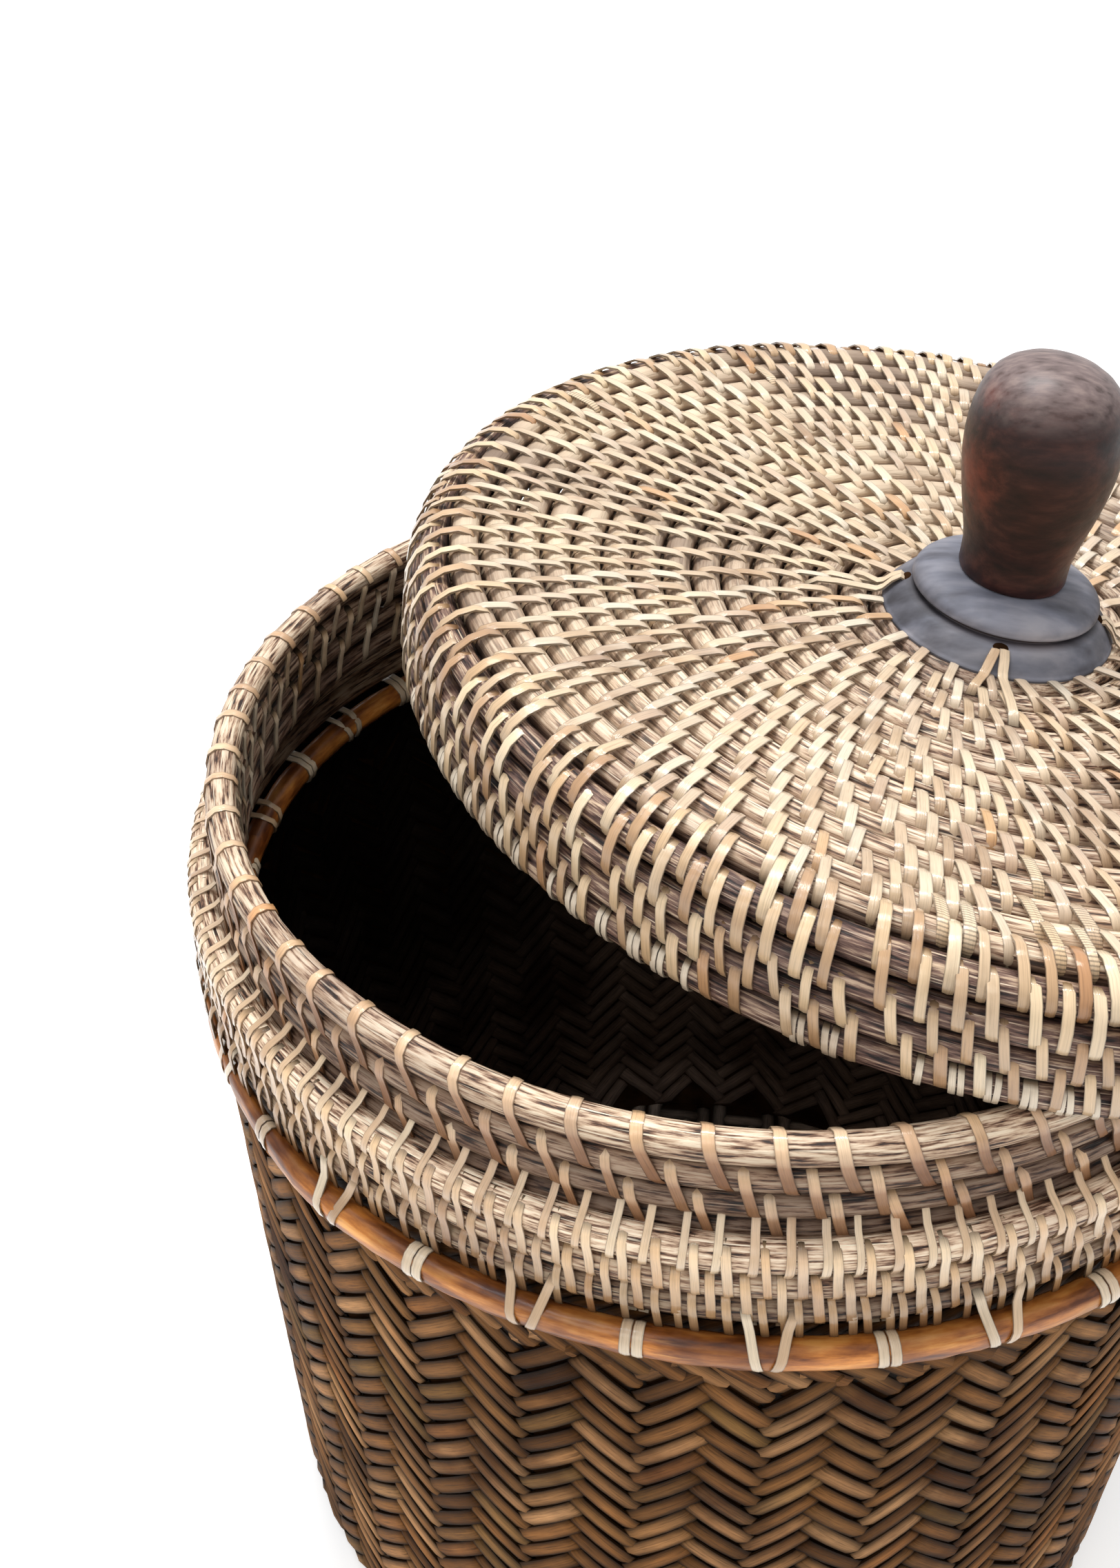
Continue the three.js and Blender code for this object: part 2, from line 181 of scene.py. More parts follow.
def rodMaterial(name, look):
    # bundled pith: long fibres with pale flecks, and where a groove is given, painted shade that goes near black toward
    # the hollows between the rows
    material, tree = newMaterial(name)
    uv = addNode(tree, "UVMap", uv_map="UVMap")[0]
    where = addNode(tree, "TexCoord")["Object"]
    along, across, fleckFrom = look["grainAlong"], look["grainAcross"], look["fleckFrom"]
    grain = addNoise(tree, addMapping(tree, uv, {"Scale": (along, across, 1)}), 1.0, 5.0, 0.6)
    fleckNoise = addNoise(tree, addMapping(tree, uv, {"Scale": (along * 0.45, across * 1.7, 1)}), 1.0, 3.0)
    fleck = addRamp(tree, fleckNoise, [(0.0, 0.0), (fleckFrom, 0.0), (fleckFrom + 0.08, 1.0)])
    patch = addNoise(tree, where, look["patchScale"], 4.0)
    colour = addMix(tree, "MIX", addRamp(tree, grain, look["tones"]), (*look["fleck"], 1), fleck)
    colour = addMix(tree, "MULTIPLY", colour, addRamp(tree, patch, look["patches"]))
    if "plain" in look:
        # away from the front the fibres are worn smooth
        parts = addNode(tree, "SeparateXYZ", {0: where})
        away = addMath(tree, "ADD", addMath(tree, "MULTIPLY", parts[0], 0.6), addMath(tree, "MULTIPLY", parts[1], -0.8))
        share = addRange(tree, away, -0.06, 0.05, toMax=0.95)
        colour = addMix(tree, "MIX", addRamp(tree, patch, look["plain"]), colour, share)
    if "paintedLightLevels" in look:
        colour = paintLightByHeight(tree, where, colour, look["paintedLightLevels"])
    if "groove" in look:
        # painted shade: dark toward the groove between two rows
        rise = addNode(tree, "Attribute", attribute_name="rise")["Fac"]
        colour = addMix(tree, "MULTIPLY", colour, addRamp(tree, rise, look["groove"]))
    return paint(material, {"Base Color": colour, "Roughness": look["rough"], "Specular IOR Level": look["specular"],
                            "Normal": addBump(tree, grain, look["bump"], 0.0007)})


def chooseNothing():
    if bpy.context.mode != "OBJECT":
        bpy.ops.object.mode_set(mode="OBJECT")
    bpy.ops.object.select_all(action="DESELECT")


def pickVertices(piece, test):
    # in edit mode: select the vertices that pass the test, and the edges and faces between them
    bpy.ops.mesh.select_all(action="DESELECT")
    shape = bmesh.from_edit_mesh(piece.data)
    for index, vert in enumerate(shape.verts):
        vert.select_set(bool(test(index, vert.co)))
    shape.select_flush(True)
    bmesh.update_edit_mesh(piece.data)


def pull(before, after):
    # the way from one row of a strip to the next
    return (0, (after[0] - before[0]) * mm, (after[1] - before[1]) * mm)


def modelStrip(name, look):
    # A strip is a sheet pulled row by row along its path, raised in its middle and given a thickness.
    # x runs across the strip, y along it and z off the surface.
    chooseNothing()
    path = look["path"]
    half = look["width"] / 2
    bpy.ops.mesh.primitive_grid_add(x_subdivisions=2, y_subdivisions=1, size=2, location=(0, 0, 0))
    piece = bpy.context.object
    piece.name = name
    bpy.ops.object.mode_set(mode="EDIT")
    bpy.ops.mesh.select_mode(type="VERT")
    bpy.ops.mesh.select_all(action="SELECT")
    bpy.ops.transform.resize(value=(half * mm, 0, 0))
    bpy.ops.transform.translate(value=pull((0, 0), path[0]))
    # only the further row of three points is pulled on
    pickVertices(piece, lambda index, co: index >= 3)
    bpy.ops.transform.translate(value=pull(path[0], path[1]))
    for before, after in zip(path[1:], path[2:]):
        bpy.ops.mesh.extrude_region_move(TRANSFORM_OT_translate={"value": pull(before, after)})
    bpy.ops.mesh.select_all(action="SELECT")
    bpy.ops.mesh.normals_make_consistent(inside=False)
    bpy.ops.object.mode_set(mode="OBJECT")
    if piece.data.polygons[len(piece.data.polygons) // 2].normal.z < 0:
        piece.data.flip_normals()
    bpy.ops.object.mode_set(mode="EDIT")
    pickVertices(piece, lambda index, co: abs(co.x) < half * mm * 0.5)
    bpy.ops.transform.shrink_fatten(value=look["crown"] * mm)
    for row, narrow in look.get("narrow", {}).items():
        y, z = path[row]
        pickVertices(piece, lambda index, co: math.hypot(co.y - y * mm, co.z - z * mm) < 0.0006)
        bpy.ops.transform.resize(value=(narrow, 1, 1), center_override=(0, y * mm, z * mm))
    bpy.ops.object.mode_set(mode="OBJECT")
    thick = piece.modifiers.new("thickness", "SOLIDIFY")
    thick.thickness = look["thickness"] * mm
    thick.offset = -1
    bpy.ops.object.modifier_apply(modifier=thick.name)
    # the strip as numbers, with its place across and along for the grain
    points = np.array([vert.co[:] for vert in piece.data.vertices]) / mm
    faces = [list(face.vertices) for face in piece.data.polygons]
    rows = np.array(path, float)
    steps = np.concatenate([[0], np.cumsum(np.hypot(*np.diff(rows, axis=0).T))])
    nearest = np.hypot(points[:, None, 1] - rows[None, :, 0], points[:, None, 2] - rows[None, :, 1]).argmin(1)
    bpy.data.objects.remove(piece)
    return {"points": points, "faces": faces, "along": steps[nearest] / steps[-1],
            "across": np.clip(points[:, 0] / look["width"] + 0.5, 0, 1)}


def finishPiece(piece, material, body, slot, *nodes):
    piece.data.materials.clear()
    piece.data.materials.append(material)
    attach(piece, body)
    if nodes:
        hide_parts(*nodes)
    return piece


def sewPiece(name, strip, placed, material, *nodes, tones=None, flipped=True, body="basket", slot="split_strip"):
    # every copy of the strip gets its own points; all copies of a region are one piece
    if tones is None:
        tones = [lucky.random() for _ in placed]
    count = len(placed)
    size = len(strip["points"])
    faces = [face[::-1] if flipped else face for face in strip["faces"]]
    corners = np.concatenate(faces)
    lengths = np.tile([len(face) for face in faces], count)
    mesh = bpy.data.meshes.new(name)
    mesh.vertices.add(count * size)
    mesh.vertices.foreach_set("co", (np.concatenate(placed) * mm).astype(np.float32).ravel())
    allCorners = (corners[None, :] + (np.arange(count) * size)[:, None]).ravel()
    mesh.loops.add(len(allCorners))
    mesh.loops.foreach_set("vertex_index", allCorners.astype(np.int32))
    mesh.polygons.add(len(lengths))
    mesh.polygons.foreach_set("loop_start", np.concatenate([[0], np.cumsum(lengths)[:-1]]).astype(np.int32))
    mesh.update(calc_edges=True)
    mesh.polygons.foreach_set("use_smooth", np.ones(len(lengths), bool))
    uv = np.stack([strip["across"], strip["along"]], -1)
    layer = mesh.uv_layers.new(name="UVMap")
    layer.data.foreach_set("uv", np.tile(uv[corners], (count, 1)).astype(np.float32).ravel())
    tone = mesh.attributes.new("tone", "FLOAT", "POINT")
    tone.data.foreach_set("value", np.repeat(np.array(tones), size).astype(np.float32))
    mesh.validate()
    piece = bpy.data.objects.new(name, mesh)
    bpy.context.scene.collection.objects.link(piece)
    chooseNothing()
    piece.select_set(True)
    bpy.context.view_layer.objects.active = piece
    bpy.ops.object.shade_smooth_by_angle(angle=math.radians(50))
    if body == "lid":
        mesh.transform(lidMatrix)
    return finishPiece(piece, material, body, slot, *nodes)


def onPath(path, heading, s, w):
    # a point w off the surface at path distance s, at that heading
    r, z, dr, dz = path(s)
    radius = r - w * dz
    return np.stack([radius * np.cos(heading), radius * np.sin(heading), z + w * dr], -1)


def layStrip(strip, path, s, heading, wide=1.0, lean=0.0, curl=0.0, curlFrom=0.0, stretch=1.0,
             high=1.0, low=-20, lift=0.0, roll=0.0, side=1, wrapped=False):
    u, v, w = strip["points"].T
    v = v * stretch
    # a strip that wraps the top row leans the other way behind it
    leaning = np.where(w < -2.2, 2 * v.min() - v, v) if wrapped else v
    across = u * wide + (lean * leaning + curl * np.maximum(v - curlFrom, 0) ** 2)
    off = np.maximum(w * high, low) + lift + roll * u
    return onPath(path, heading + across / np.maximum(path(s + v)[0], 3.0), s + v, off * side)


def markRise(piece, path, reach, radius, top):
    # how far each point stands off the surface that the rows lie on, 0 in the groove and 1 at the top of a rod;
    # above the highest row's middle nothing lies next to it, so there the rod counts as open
    r, z, dr, dz = path(np.arange(0, reach, 0.5))
    points = np.array([vert.co[:] for vert in piece.data.vertices]) / mm
    away, high = np.hypot(points[:, 0], points[:, 1]), points[:, 2]
    nearest = ((away[:, None] - r) ** 2 + (high[:, None] - z) ** 2).argmin(1)
    off = (away - r[nearest]) * -dz[nearest] + (high - z[nearest]) * dr[nearest]
    if top is not None:
        off = np.where(high > top, np.hypot(off, high - top), off)
    rise = piece.data.attributes.new("rise", "FLOAT", "POINT")
    rise.data.foreach_set("value", (np.abs(off) / radius).astype(np.float32))


def windPiece(name, points, radius, material, body, node, path=None, reach=0, top=None):
    # a curve along the whole winding, thickened and turned into a mesh
    chooseNothing()
    bpy.ops.curve.primitive_bezier_circle_add(radius=radius * mm)
    piece = bpy.context.object
    piece.name = name
    curve = piece.data
    curve.splines.clear()
    spline = curve.splines.new("POLY")
    spline.points.add(len(points) - 1)
    for point, (x, y, z, thin) in zip(spline.points, points):
        point.co = (x * mm, y * mm, z * mm, 1)
        point.radius = thin
    curve.dimensions = "3D"
    curve.twist_mode = "Z_UP"
    curve.bevel_depth = radius * mm
    curve.bevel_resolution = 3
    curve.use_fill_caps = True
    bpy.ops.object.convert(target="MESH")
    piece = bpy.context.object
    # the grain's place along the rod is in centimetres
    length = sum((Vector(a[:3]) - Vector(b[:3])).length for a, b in zip(points, points[1:]))
    for corner in piece.data.uv_layers[0].data:
        corner.uv = (corner.uv[0] * length / 10, corner.uv[1])
    bpy.ops.object.mode_set(mode="EDIT")
    bpy.ops.mesh.select_all(action="SELECT")
    bpy.ops.mesh.remove_doubles(threshold=0.00001)
    bpy.ops.mesh.normals_make_consistent(inside=False)
    bpy.ops.object.mode_set(mode="OBJECT")
    bpy.ops.object.shade_smooth_by_angle(angle=math.radians(60))
    if path:
        markRise(piece, path, reach, radius, top)
    if body == "lid":
        piece.data.transform(lidMatrix)
    return finishPiece(piece, material, body, "stitched_rods", node)


def smoothShare(x):
    return x * x * (3 - 2 * x)


def nearHeading(heading, middle, reach):
    # 1 at the middle heading, falling to 0 at reach degrees on both sides of it
    return smoothShare(max(0.0, 1 - abs(((heading / degree - middle) + 180) % 360 - 180) / reach))


def rowsAlong(turn, share):
    # a row is level for most of its turn and climbs to the next in the rest of it
    whole = math.floor(turn + 1e-9)
    part = turn - whole
    return whole + smoothShare(max(0.0, (part - (1 - share)) / share))


def headingAt(look, turn):
    return look["climbFrom"] * degree + fullTurn * (turn + look["share"])


def downPath(radius, top):
    # straight down a ring of the basket: distance s runs down from the top
    def path(s):
        s = np.asarray(s, float)
        return np.full_like(s, radius), top - s, np.zeros_like(s), np.full_like(s, -1.0)
    return path


# The lid: a path runs out over the plate, round its bend and down the skirt, and the rows lie on it.
lidLook = {"radius": 164.46, "bend": 9.5, "dish": 11.0, "pathEnd": 188.28, "pathReach": 194, "innermost": 32.2,
           "platePitch": 8.6914, "plateRows": 15, "skirtPitch": 8.6, "rows": 19, "share": 8 / 24, "climbFrom": -45,
           "rodRadius": 4.15, "stitchPitch": 10.0, "stagger": 2.7, "leastGap": 6.2, "mostGap": 12.4}
plateRadius = lidLook["radius"] - lidLook["bend"]
outerRow = lidLook["rows"] - 1


def lidPath(s):
    s = np.asarray(s, float)
    bend = lidLook["bend"]
    slope = 2 * lidLook["dish"] * s / plateRadius ** 2
    length = np.hypot(1, slope)
    a = np.clip((s - plateRadius) / bend, 0, math.pi / 2)
    down = np.maximum(0, s - plateRadius - bend * math.pi / 2)
    onPlate = s <= plateRadius
    r = np.where(onPlate, s, plateRadius + bend * np.sin(a))
    z = np.where(onPlate, -lidLook["dish"] * (1 - (s / plateRadius) ** 2), -bend * (1 - np.cos(a)) - down)
    return r, z, np.where(onPlate, 1 / length, np.cos(a)), np.where(onPlate, slope / length, -np.sin(a))


def lidRowDistance(row):
    if row < lidLook["plateRows"] - 1:
        return lidLook["innermost"] + lidLook["platePitch"] * row
    return lidLook["pathEnd"] - lidLook["skirtPitch"] * (outerRow - row)


def lidRods(fromTurn, toTurn, taperStart=0.0, taperEnd=0.0):
    points = []
    count = int((toTurn - fromTurn) * stepsPerTurn)
    for i in range(count + 1):
        turn = fromTurn + (toTurn - fromTurn) * i / count
        thin = 1 + 0.035 * math.sin(turn * 61) * math.sin(turn * 23 + 1)
        drawn = 0.0
        if taperStart:
            thin *= min(1.0, 0.3 + (turn - fromTurn) / taperStart)
        if taperEnd:
            # the end is thinned and drawn up to the row before it
            ending = min(1.0, 0.3 + (toTurn - turn) / taperEnd)
            thin *= ending
            drawn = lidLook["rodRadius"] * (1 - ending)
        row = rowsAlong(turn, lidLook["share"])
        points.append((*onPath(lidPath, headingAt(lidLook, turn), lidRowDistance(row) - drawn, 0.0).tolist(), thin))
    return points


def lidLean(heading):
    # toward the front the strips lean more
    return 0.08 + 0.17 * nearHeading(heading, 285, 90)


def chainStitches():
    # each stitch touches the side of the stitch before it on the next row out
    share = lidLook["share"]
    first = round(fullTurn * lidRowDistance(0.5) / lidLook["stitchPitch"])
    turns = [i / first for i in range(first)]
    index = 0
    while True:
        turn = turns[index] + 1
        index += 1
        around = fullTurn * float(lidPath(lidRowDistance(min(rowsAlong(turn, share) + 0.5, outerRow)))[0])
        shift = lidLook["stagger"] + drawnPitch * lidLean(fullTurn * (turn + share) + lidLook["climbFrom"] * degree)
        turn += (shift + lucky.uniform(-0.55, 0.55)) / around
        if turn > outerRow - share:
            break
        gap = (turn - turns[-1]) * around
        if gap < lidLook["leastGap"]:
            continue
        if gap > lidLook["mostGap"]:
            turns.append((turns[-1] + turn) / 2)
        turns.append(turn)
    return turns


lidStrip = modelStrip("lidStitch", {
    "width": 2.65, "thickness": 0.6, "crown": 0.16, "narrow": {0: 0.3, 1: 0.5, 2: 0.78, 8: 0.8, 9: 0.5},
    "path": [(-8.0, -2.2), (-7.7, 0.4), (-6.9, 2.7), (-5.2, 4.3), (-2.6, 4.95),
             (0.6, 4.9), (3.8, 4.75), (6.3, 3.8), (8.0, 1.8), (8.6, -0.8)]})
doubleStrip = modelStrip("lidDoubleStitch", {
    "width": 2.1, "thickness": 0.42, "crown": 0.1,
    "path": [(-4.6, -0.5), (-4.4, 2.0), (-3.0, 3.7), (-1.0, 4.4), (1.2, 4.4), (3.2, 3.6), (4.4, 1.9), (4.5, 0.0)]})
lidTurns = chainStitches()
print("lid stitches", len(lidTurns))

strawLook = {
    "tones": tonesOf((0.0, 200, 168, 134), (0.1, 228, 201, 166), (0.3, 237, 214, 182), (0.42, 220, 190, 156),
                     (0.56, 238, 220, 192), (0.7, 212, 182, 152), (0.82, 234, 207, 170), (0.95, 226, 192, 152),
                     (0.98, 224, 178, 128), (1.0, 206, 158, 112)),
    "grainAcross": 9.0, "grainAlong": 2.2, "grain": [(0.25, 0.66), (0.5, 0.97), (0.75, 1.1)],
    "stainScale": 42.0, "stains": [(0.3, (0.7, 0.62, 0.56)), (0.48, (0.97, 0.95, 0.93)), (0.7, (1.05, 1.03, 1.0))],
    # painted shade: dark edges beside each strip, and ends painted near black where they dive between the rods, darkest
    # at the inner end
    "edge": 0.32, "edgeFrom": 0.4,
    "paintedLightAlong": [(0.0, 0.02), (0.15, 0.06), (0.22, (0.34, 0.29, 0.24)), (0.3, 1.0), (0.42, 1.06), (0.6, 1.0),
             (0.75, (0.94, 0.92, 0.9)), (0.87, (0.68, 0.62, 0.56)), (1.0, 0.16)],
    "smooth": 0.24, "rough": 0.42, "bump": 0.3, "specular": 0.3, "coat": 0.9,
}
strawTones = strawLook["tones"]
pinkLook = {**strawLook, "tones": tinted(strawTones, 0.97, 0.88, 0.82)}
skirtTones = tonesOf((0.0, 180, 144, 108), (0.12, 236, 212, 176), (0.26, 208, 174, 134), (0.4, 186, 148, 112),
                     (0.55, 240, 220, 188), (0.7, 200, 166, 130), (0.85, 232, 204, 166), (1.0, 186, 138, 96))
straw = stripMaterial("strawStrips", {**strawLook, "tones": tinted(strawTones, 0.94, 0.98, 1.05)})
ribbedStraw = stripMaterial("ribbedStrawStrips", {**strawLook, "ribs": 9.0})
skirtStraw = stripMaterial("skirtStrawStrips", {**strawLook, "tones": skirtTones, "edge": 0.26})

rodLook = {
    "tones": tonesOf((0.38, 44, 29, 23), (0.44, 124, 92, 72), (0.51, 206, 180, 154), (0.6, 240, 224, 200)),
    "grainAlong": 0.8, "grainAcross": 21.0, "fleckFrom": 0.57, "fleck": linear(246, 233, 210),
    "patchScale": 14.0, "patches": [(0.34, (0.62, 0.55, 0.54)), (0.44, (0.9, 0.86, 0.84)), (0.6, (1.08, 1.05, 1.02))],
    # groove: painted shade by how far a point stands off the groove, near black in it
    "groove": [(0.0, (0.08, 0.05, 0.05)), (0.25, (0.2, 0.15, 0.13)), (0.52, (0.74, 0.67, 0.62)), (0.76, 1.0),
               (1.0, 1.1)],
    "rough": 0.5, "specular": 0.4, "bump": 0.8,
}
plateRodLook = {**rodLook, "plain": tonesOf((0.36, 132, 112, 96), (0.5, 190, 168, 145), (0.64, 226, 206, 178))}
rodFibre = rodMaterial("rodFibre", plateRodLook)
edgeFibre = rodMaterial("edgeRodFibre", {
    **rodLook, "tones": tonesOf((0.38, 24, 14, 14), (0.45, 84, 60, 53), (0.53, 124, 98, 86), (0.63, 200, 176, 150)),
    "fleckFrom": 0.59, "fleck": linear(226, 208, 184), "bump": 1.0,
    "patchScale": 18.0, "patches": [(0.36, (0.56, 0.49, 0.52)), (0.6, (1.12, 1.08, 1.03))]})

joinTurn = lidLook["plateRows"] - lidLook["share"] / 2
windPiece("lidTopRods", lidRods(0, joinTurn, taperStart=0.2), lidLook["rodRadius"], rodFibre,
          "lid", "lid_top_coil", lidPath, lidLook["pathReach"])
windPiece("lidSkirtRods", lidRods(joinTurn, lidLook["rows"] - lidLook["share"], taperEnd=0.07), lidLook["rodRadius"],
          edgeFibre, "lid", "lid_skirt_coil", lidPath, lidLook["pathReach"])

# where the kinds of stitches lie on the lid's path, and how often a ribbed strip turns up
lidKinds = {"leanWiderTo": 145, "ribbedTo": 150, "skirtFrom": 158, "ribbedFrom": 118, "ribbedHeadings": (258, 274),
            "ribbedThere": 0.3, "ribbedElsewhere": 0.006, "edgeRadius": 164, "edgeApart": 0.95}


def lidStitches(side):
    groups = {"lidTopStitches": ([], []), "lidSkirtStitches": ([], []), "lidRibbedStitches": ([], [])}
    kinds = lidKinds
    for turn in lidTurns:
        row = rowsAlong(turn, lidLook["share"])
        low, high = lidRowDistance(row), lidRowDistance(row + 1)
        s = (low + high) / 2
        heading = headingAt(lidLook, turn)
        leanWider = 0.7 * (lidLean(heading) - 0.08) if low < kinds["leanWiderTo"] else 0.0
        place = {"s": s, "heading": heading + lucky.uniform(-0.5, 0.5) / float(lidPath(s)[0]),
                 "wide": lucky.uniform(0.88, 1.16) + 0.26 * nearHeading(heading, 100, 110) + leanWider,
                 "lean": (lidLean(heading) + lucky.uniform(-0.09, 0.09)) * side,
                 "high": lucky.uniform(0.97, 1.05), "roll": lucky.uniform(-0.1, 0.1),
                 "stretch": (high - low) / drawnPitch * lucky.uniform(0.97, 1.02),
                 "side": side, "low": -3 if side > 0 else 0.3}
        ribbedPatch = (kinds["ribbedHeadings"][0] < heading / degree % 360 < kinds["ribbedHeadings"][1]
                       and kinds["ribbedFrom"] < s < kinds["ribbedTo"])
        ribbed = ((ribbedPatch and lucky.random() < kinds["ribbedThere"])
                  or (s < kinds["ribbedTo"] and lucky.random() < kinds["ribbedElsewhere"]))
        kind = "lidRibbedStitches" if ribbed else "lidTopStitches" if s < kinds["skirtFrom"] else "lidSkirtStitches"
        points, tones = groups[kind]
        points.append(layStrip(lidStrip, lidPath, **place))
        tones.append(lucky.random())
    return groups


for side, word in ((1, ""), (-1, "Inside")):
    for (name, (points, tones)), material in zip(lidStitches(side).items(), (straw, skirtStraw, ribbedStraw)):
        sewPiece(name + word, lidStrip, points, material, tones=tones, flipped=side > 0, body="lid")

# short strips, single or in twos, lie between the stitches on the lid's edge
points, tones = [], []
lastRow = [turn for turn in lidTurns if turn > outerRow - 1 - lidLook["share"]]
for before, after in zip(lastRow, lastRow[1:]):
    if lucky.random() < 0.85:
        row = min(rowsAlong((before + after) / 2, lidLook["share"]) + 1, outerRow)
        heading = lidLook["climbFrom"] * degree + math.pi * (before + after + 2 * lidLook["share"])
        for hand in ((-1, 1) if lucky.random() < 0.6 else (0,)):
            aside = hand * lidKinds["edgeApart"] / lidKinds["edgeRadius"]
            points.append(layStrip(doubleStrip, lidPath, lidRowDistance(row), heading + aside,
                                   wide=lucky.uniform(0.72, 0.86), lean=lucky.uniform(0.1, 0.24)))
            tones.append(0.53 + 0.06 * lucky.random())
sewPiece("lidEdgeStitches", doubleStrip, points, straw, tones=tones, body="lid")
print("lid wound and stitched")


def basketRods(look):
    points = []

    def addPoint(heading, z, thin):
        points.append((look["radius"] * math.cos(heading), look["radius"] * math.sin(heading), z, thin))

    lowest = look["top"] - look["pitch"] * (look["rows"] - 1)
    leadIn = 28
    for i in range(leadIn):
        # the first row grows from a point under the place where it climbs at the end of its turn
        part = i / leadIn
        size = min(look["rodRadius"], max(0.5, look["pitch"] / 2 * smoothShare(part)))
        addPoint((look["climbFrom"] + 360 * look["share"] * part) * degree, lowest - look["rodRadius"] + size,
                 size / look["rodRadius"])
    turns = look["rows"] - look["share"]
    count = int(turns * stepsPerTurn)
    for i in range(count + 1):
        turn = turns * i / count
        thin = 1 + 0.04 * math.sin(turn * 57) * math.sin(turn * 19 + 2)
        thin *= min(1.0, 0.35 + (turns - turn) / 0.04)
        row = rowsAlong(turn, look["share"])
        addPoint(headingAt(look, turn), look["top"] - look["pitch"] * (look["rows"] - 1 - row), thin)
    return points


def ringStitches(look, strip, headings, betweenRows, side=1, **change):
    points = []
    for heading in headings:
        # where the rows climb, the stitches climb with them
        turn = (heading / fullTurn - look["climbFrom"] / 360 - look["share"]) % 1
        shift = rowsAlong(turn, look["share"])
        row = betweenRows - shift + (1 if shift > 0 else 0)
        if shift > 0 and row > look["rows"] - 0.9:
            continue
        place = {"s": look["pitch"] * row, "heading": heading, "side": side, "wide": lucky.uniform(0.88, 1.12),
                 "roll": lucky.uniform(-0.08, 0.08), "high": lucky.uniform(0.97, 1.06),
                 "stretch": look["pitch"] / drawnPitch}
        for key, value in change.items():
            place[key] = value * lucky.uniform(0.65, 1.35) if key in ("curl", "lean") else value
        points.append(layStrip(strip, look["path"], **place))
    return points


def windRing(name, look, material, node):
    return windPiece(name, basketRods(look), look["rodRadius"], material, "basket", node,
                     look["path"], look["reach"], look["top"])


def shifted(headings, shift, slack, radius, share=1.0):
    # the headings moved round by shift, give or take slack, in mm at that radius; some are left out if share is under 1
    return [heading + (shift + lucky.uniform(-slack, slack)) / radius
            for heading in headings if share == 1.0 or lucky.random() < share]


neckLook = {"radius": 150.0, "top": 300.0, "pitch": 8.6, "rows": 4, "share": 5 / 24, "climbFrom": -15,
            "rodRadius": 4.2, "stitches": 64, "reach": 27}
neckLook["path"] = downPath(neckLook["radius"], neckLook["top"])
# painted light and shade on the neck's rods: the top row lit, the lower rows darker
windRing("neckRods", neckLook, rodMaterial("neckRodFibre", {**rodLook, "paintedLightLevels": [
    (270, (0.26, 0.21, 0.2)), (284, (0.34, 0.29, 0.27)), (292, (0.44, 0.38, 0.35)), (297, (0.58, 0.51, 0.47)),
    (301, (0.8, 0.77, 0.74)), (304, 0.9)]}), "neck_coil")

neckDown = [(-4.4, 4.5), (-1.5, 4.25), (1.8, 4.15), (4.8, 4.4), (7.0, 3.3), (8.1, 1.2), (8.3, -0.9)]
neckStrip = modelStrip("neckStitch", {
    "width": 2.7, "thickness": 0.45, "crown": 0.14, "narrow": {0: 0.7, 9: 0.7},
    "path": [(-8.1, -0.8), (-8.0, 1.5), (-6.7, 3.6)] + neckDown})
neckTopStrip = modelStrip("neckTopStitch", {
    "width": 2.8, "thickness": 0.45, "crown": 0.14, "narrow": {11: 0.7},
    "path": [(-4.3, -4.6), (-7.0, -3.7), (-8.8, -1.0), (-8.6, 1.6), (-7.0, 3.8)] + neckDown})
# the neck's strips are painted dark over their lower half as shade, and darkest at the ends
neckStraw = stripMaterial("neckStrawStrips", {**pinkLook, "paintedLightAlong": [
    (0.0, 0.5), (0.05, 0.9), (0.3, 1.08), (0.42, (0.92, 0.87, 0.84)), (0.52, (0.54, 0.42, 0.36)),
    (0.66, (0.38, 0.28, 0.23)), (0.88, (0.28, 0.19, 0.15)), (1.0, 0.1)]})
neckLowStraw = stripMaterial("neckLowStrawStrips", {**pinkLook, "paintedLightAlong": [
    (0.0, 0.1), (0.1, 0.55), (0.2, 0.98), (0.3, (0.82, 0.75, 0.71)), (0.42, (0.52, 0.41, 0.36)),
    (0.65, (0.36, 0.27, 0.22)), (0.88, (0.27, 0.19, 0.15)), (1.0, 0.1)]})

neckCount, neckRadius = neckLook["stitches"], neckLook["radius"]
neckHeadings = [fullTurn * i / neckCount + lucky.uniform(-0.9, 0.9) / neckRadius - 0.2 * degree
                for i in range(neckCount)]
neckShift = (0.0, 7.8, 13.4)
points = ringStitches(neckLook, neckTopStrip, neckHeadings, 0.5, curl=0.011, curlFrom=-5.3, lean=0.24, wrapped=True)
sewPiece("neckTopStitches", neckTopStrip, points, neckStraw)
points = []
for level in (1, 2):
    points += ringStitches(neckLook, neckStrip, shifted(neckHeadings, neckShift[level], 0.7, neckRadius),
                           level + 0.5, curl=0.008, curlFrom=-4.0, lean=0.26)
sewPiece("neckStitches", neckStrip, points, neckLowStraw)
points = []
for level, between in enumerate((0.68, 1.5, 2.5)):
    headings = [heading + (neckShift[level] + 2.0) / neckRadius for heading in neckHeadings]
    points += ringStitches(neckLook, neckStrip, headings, between, side=-1, lean=0.35)
sewPiece("neckInsideStitches", neckStrip, points, straw, flipped=False)

# The ledge. Its stitches' spacing is measured at the radii columnsAt and stitchesAt.
ledgeLook = {"radius": 157.64, "top": 272.9, "pitch": 8.9, "rows": 3, "share": 5 / 24, "climbFrom": -15,
             "rodRadius": 4.35, "stitches": 125, "reach": 20, "columnsAt": 157, "stitchesAt": 158}
ledgeLook["path"] = downPath(ledgeLook["radius"], ledgeLook["top"])
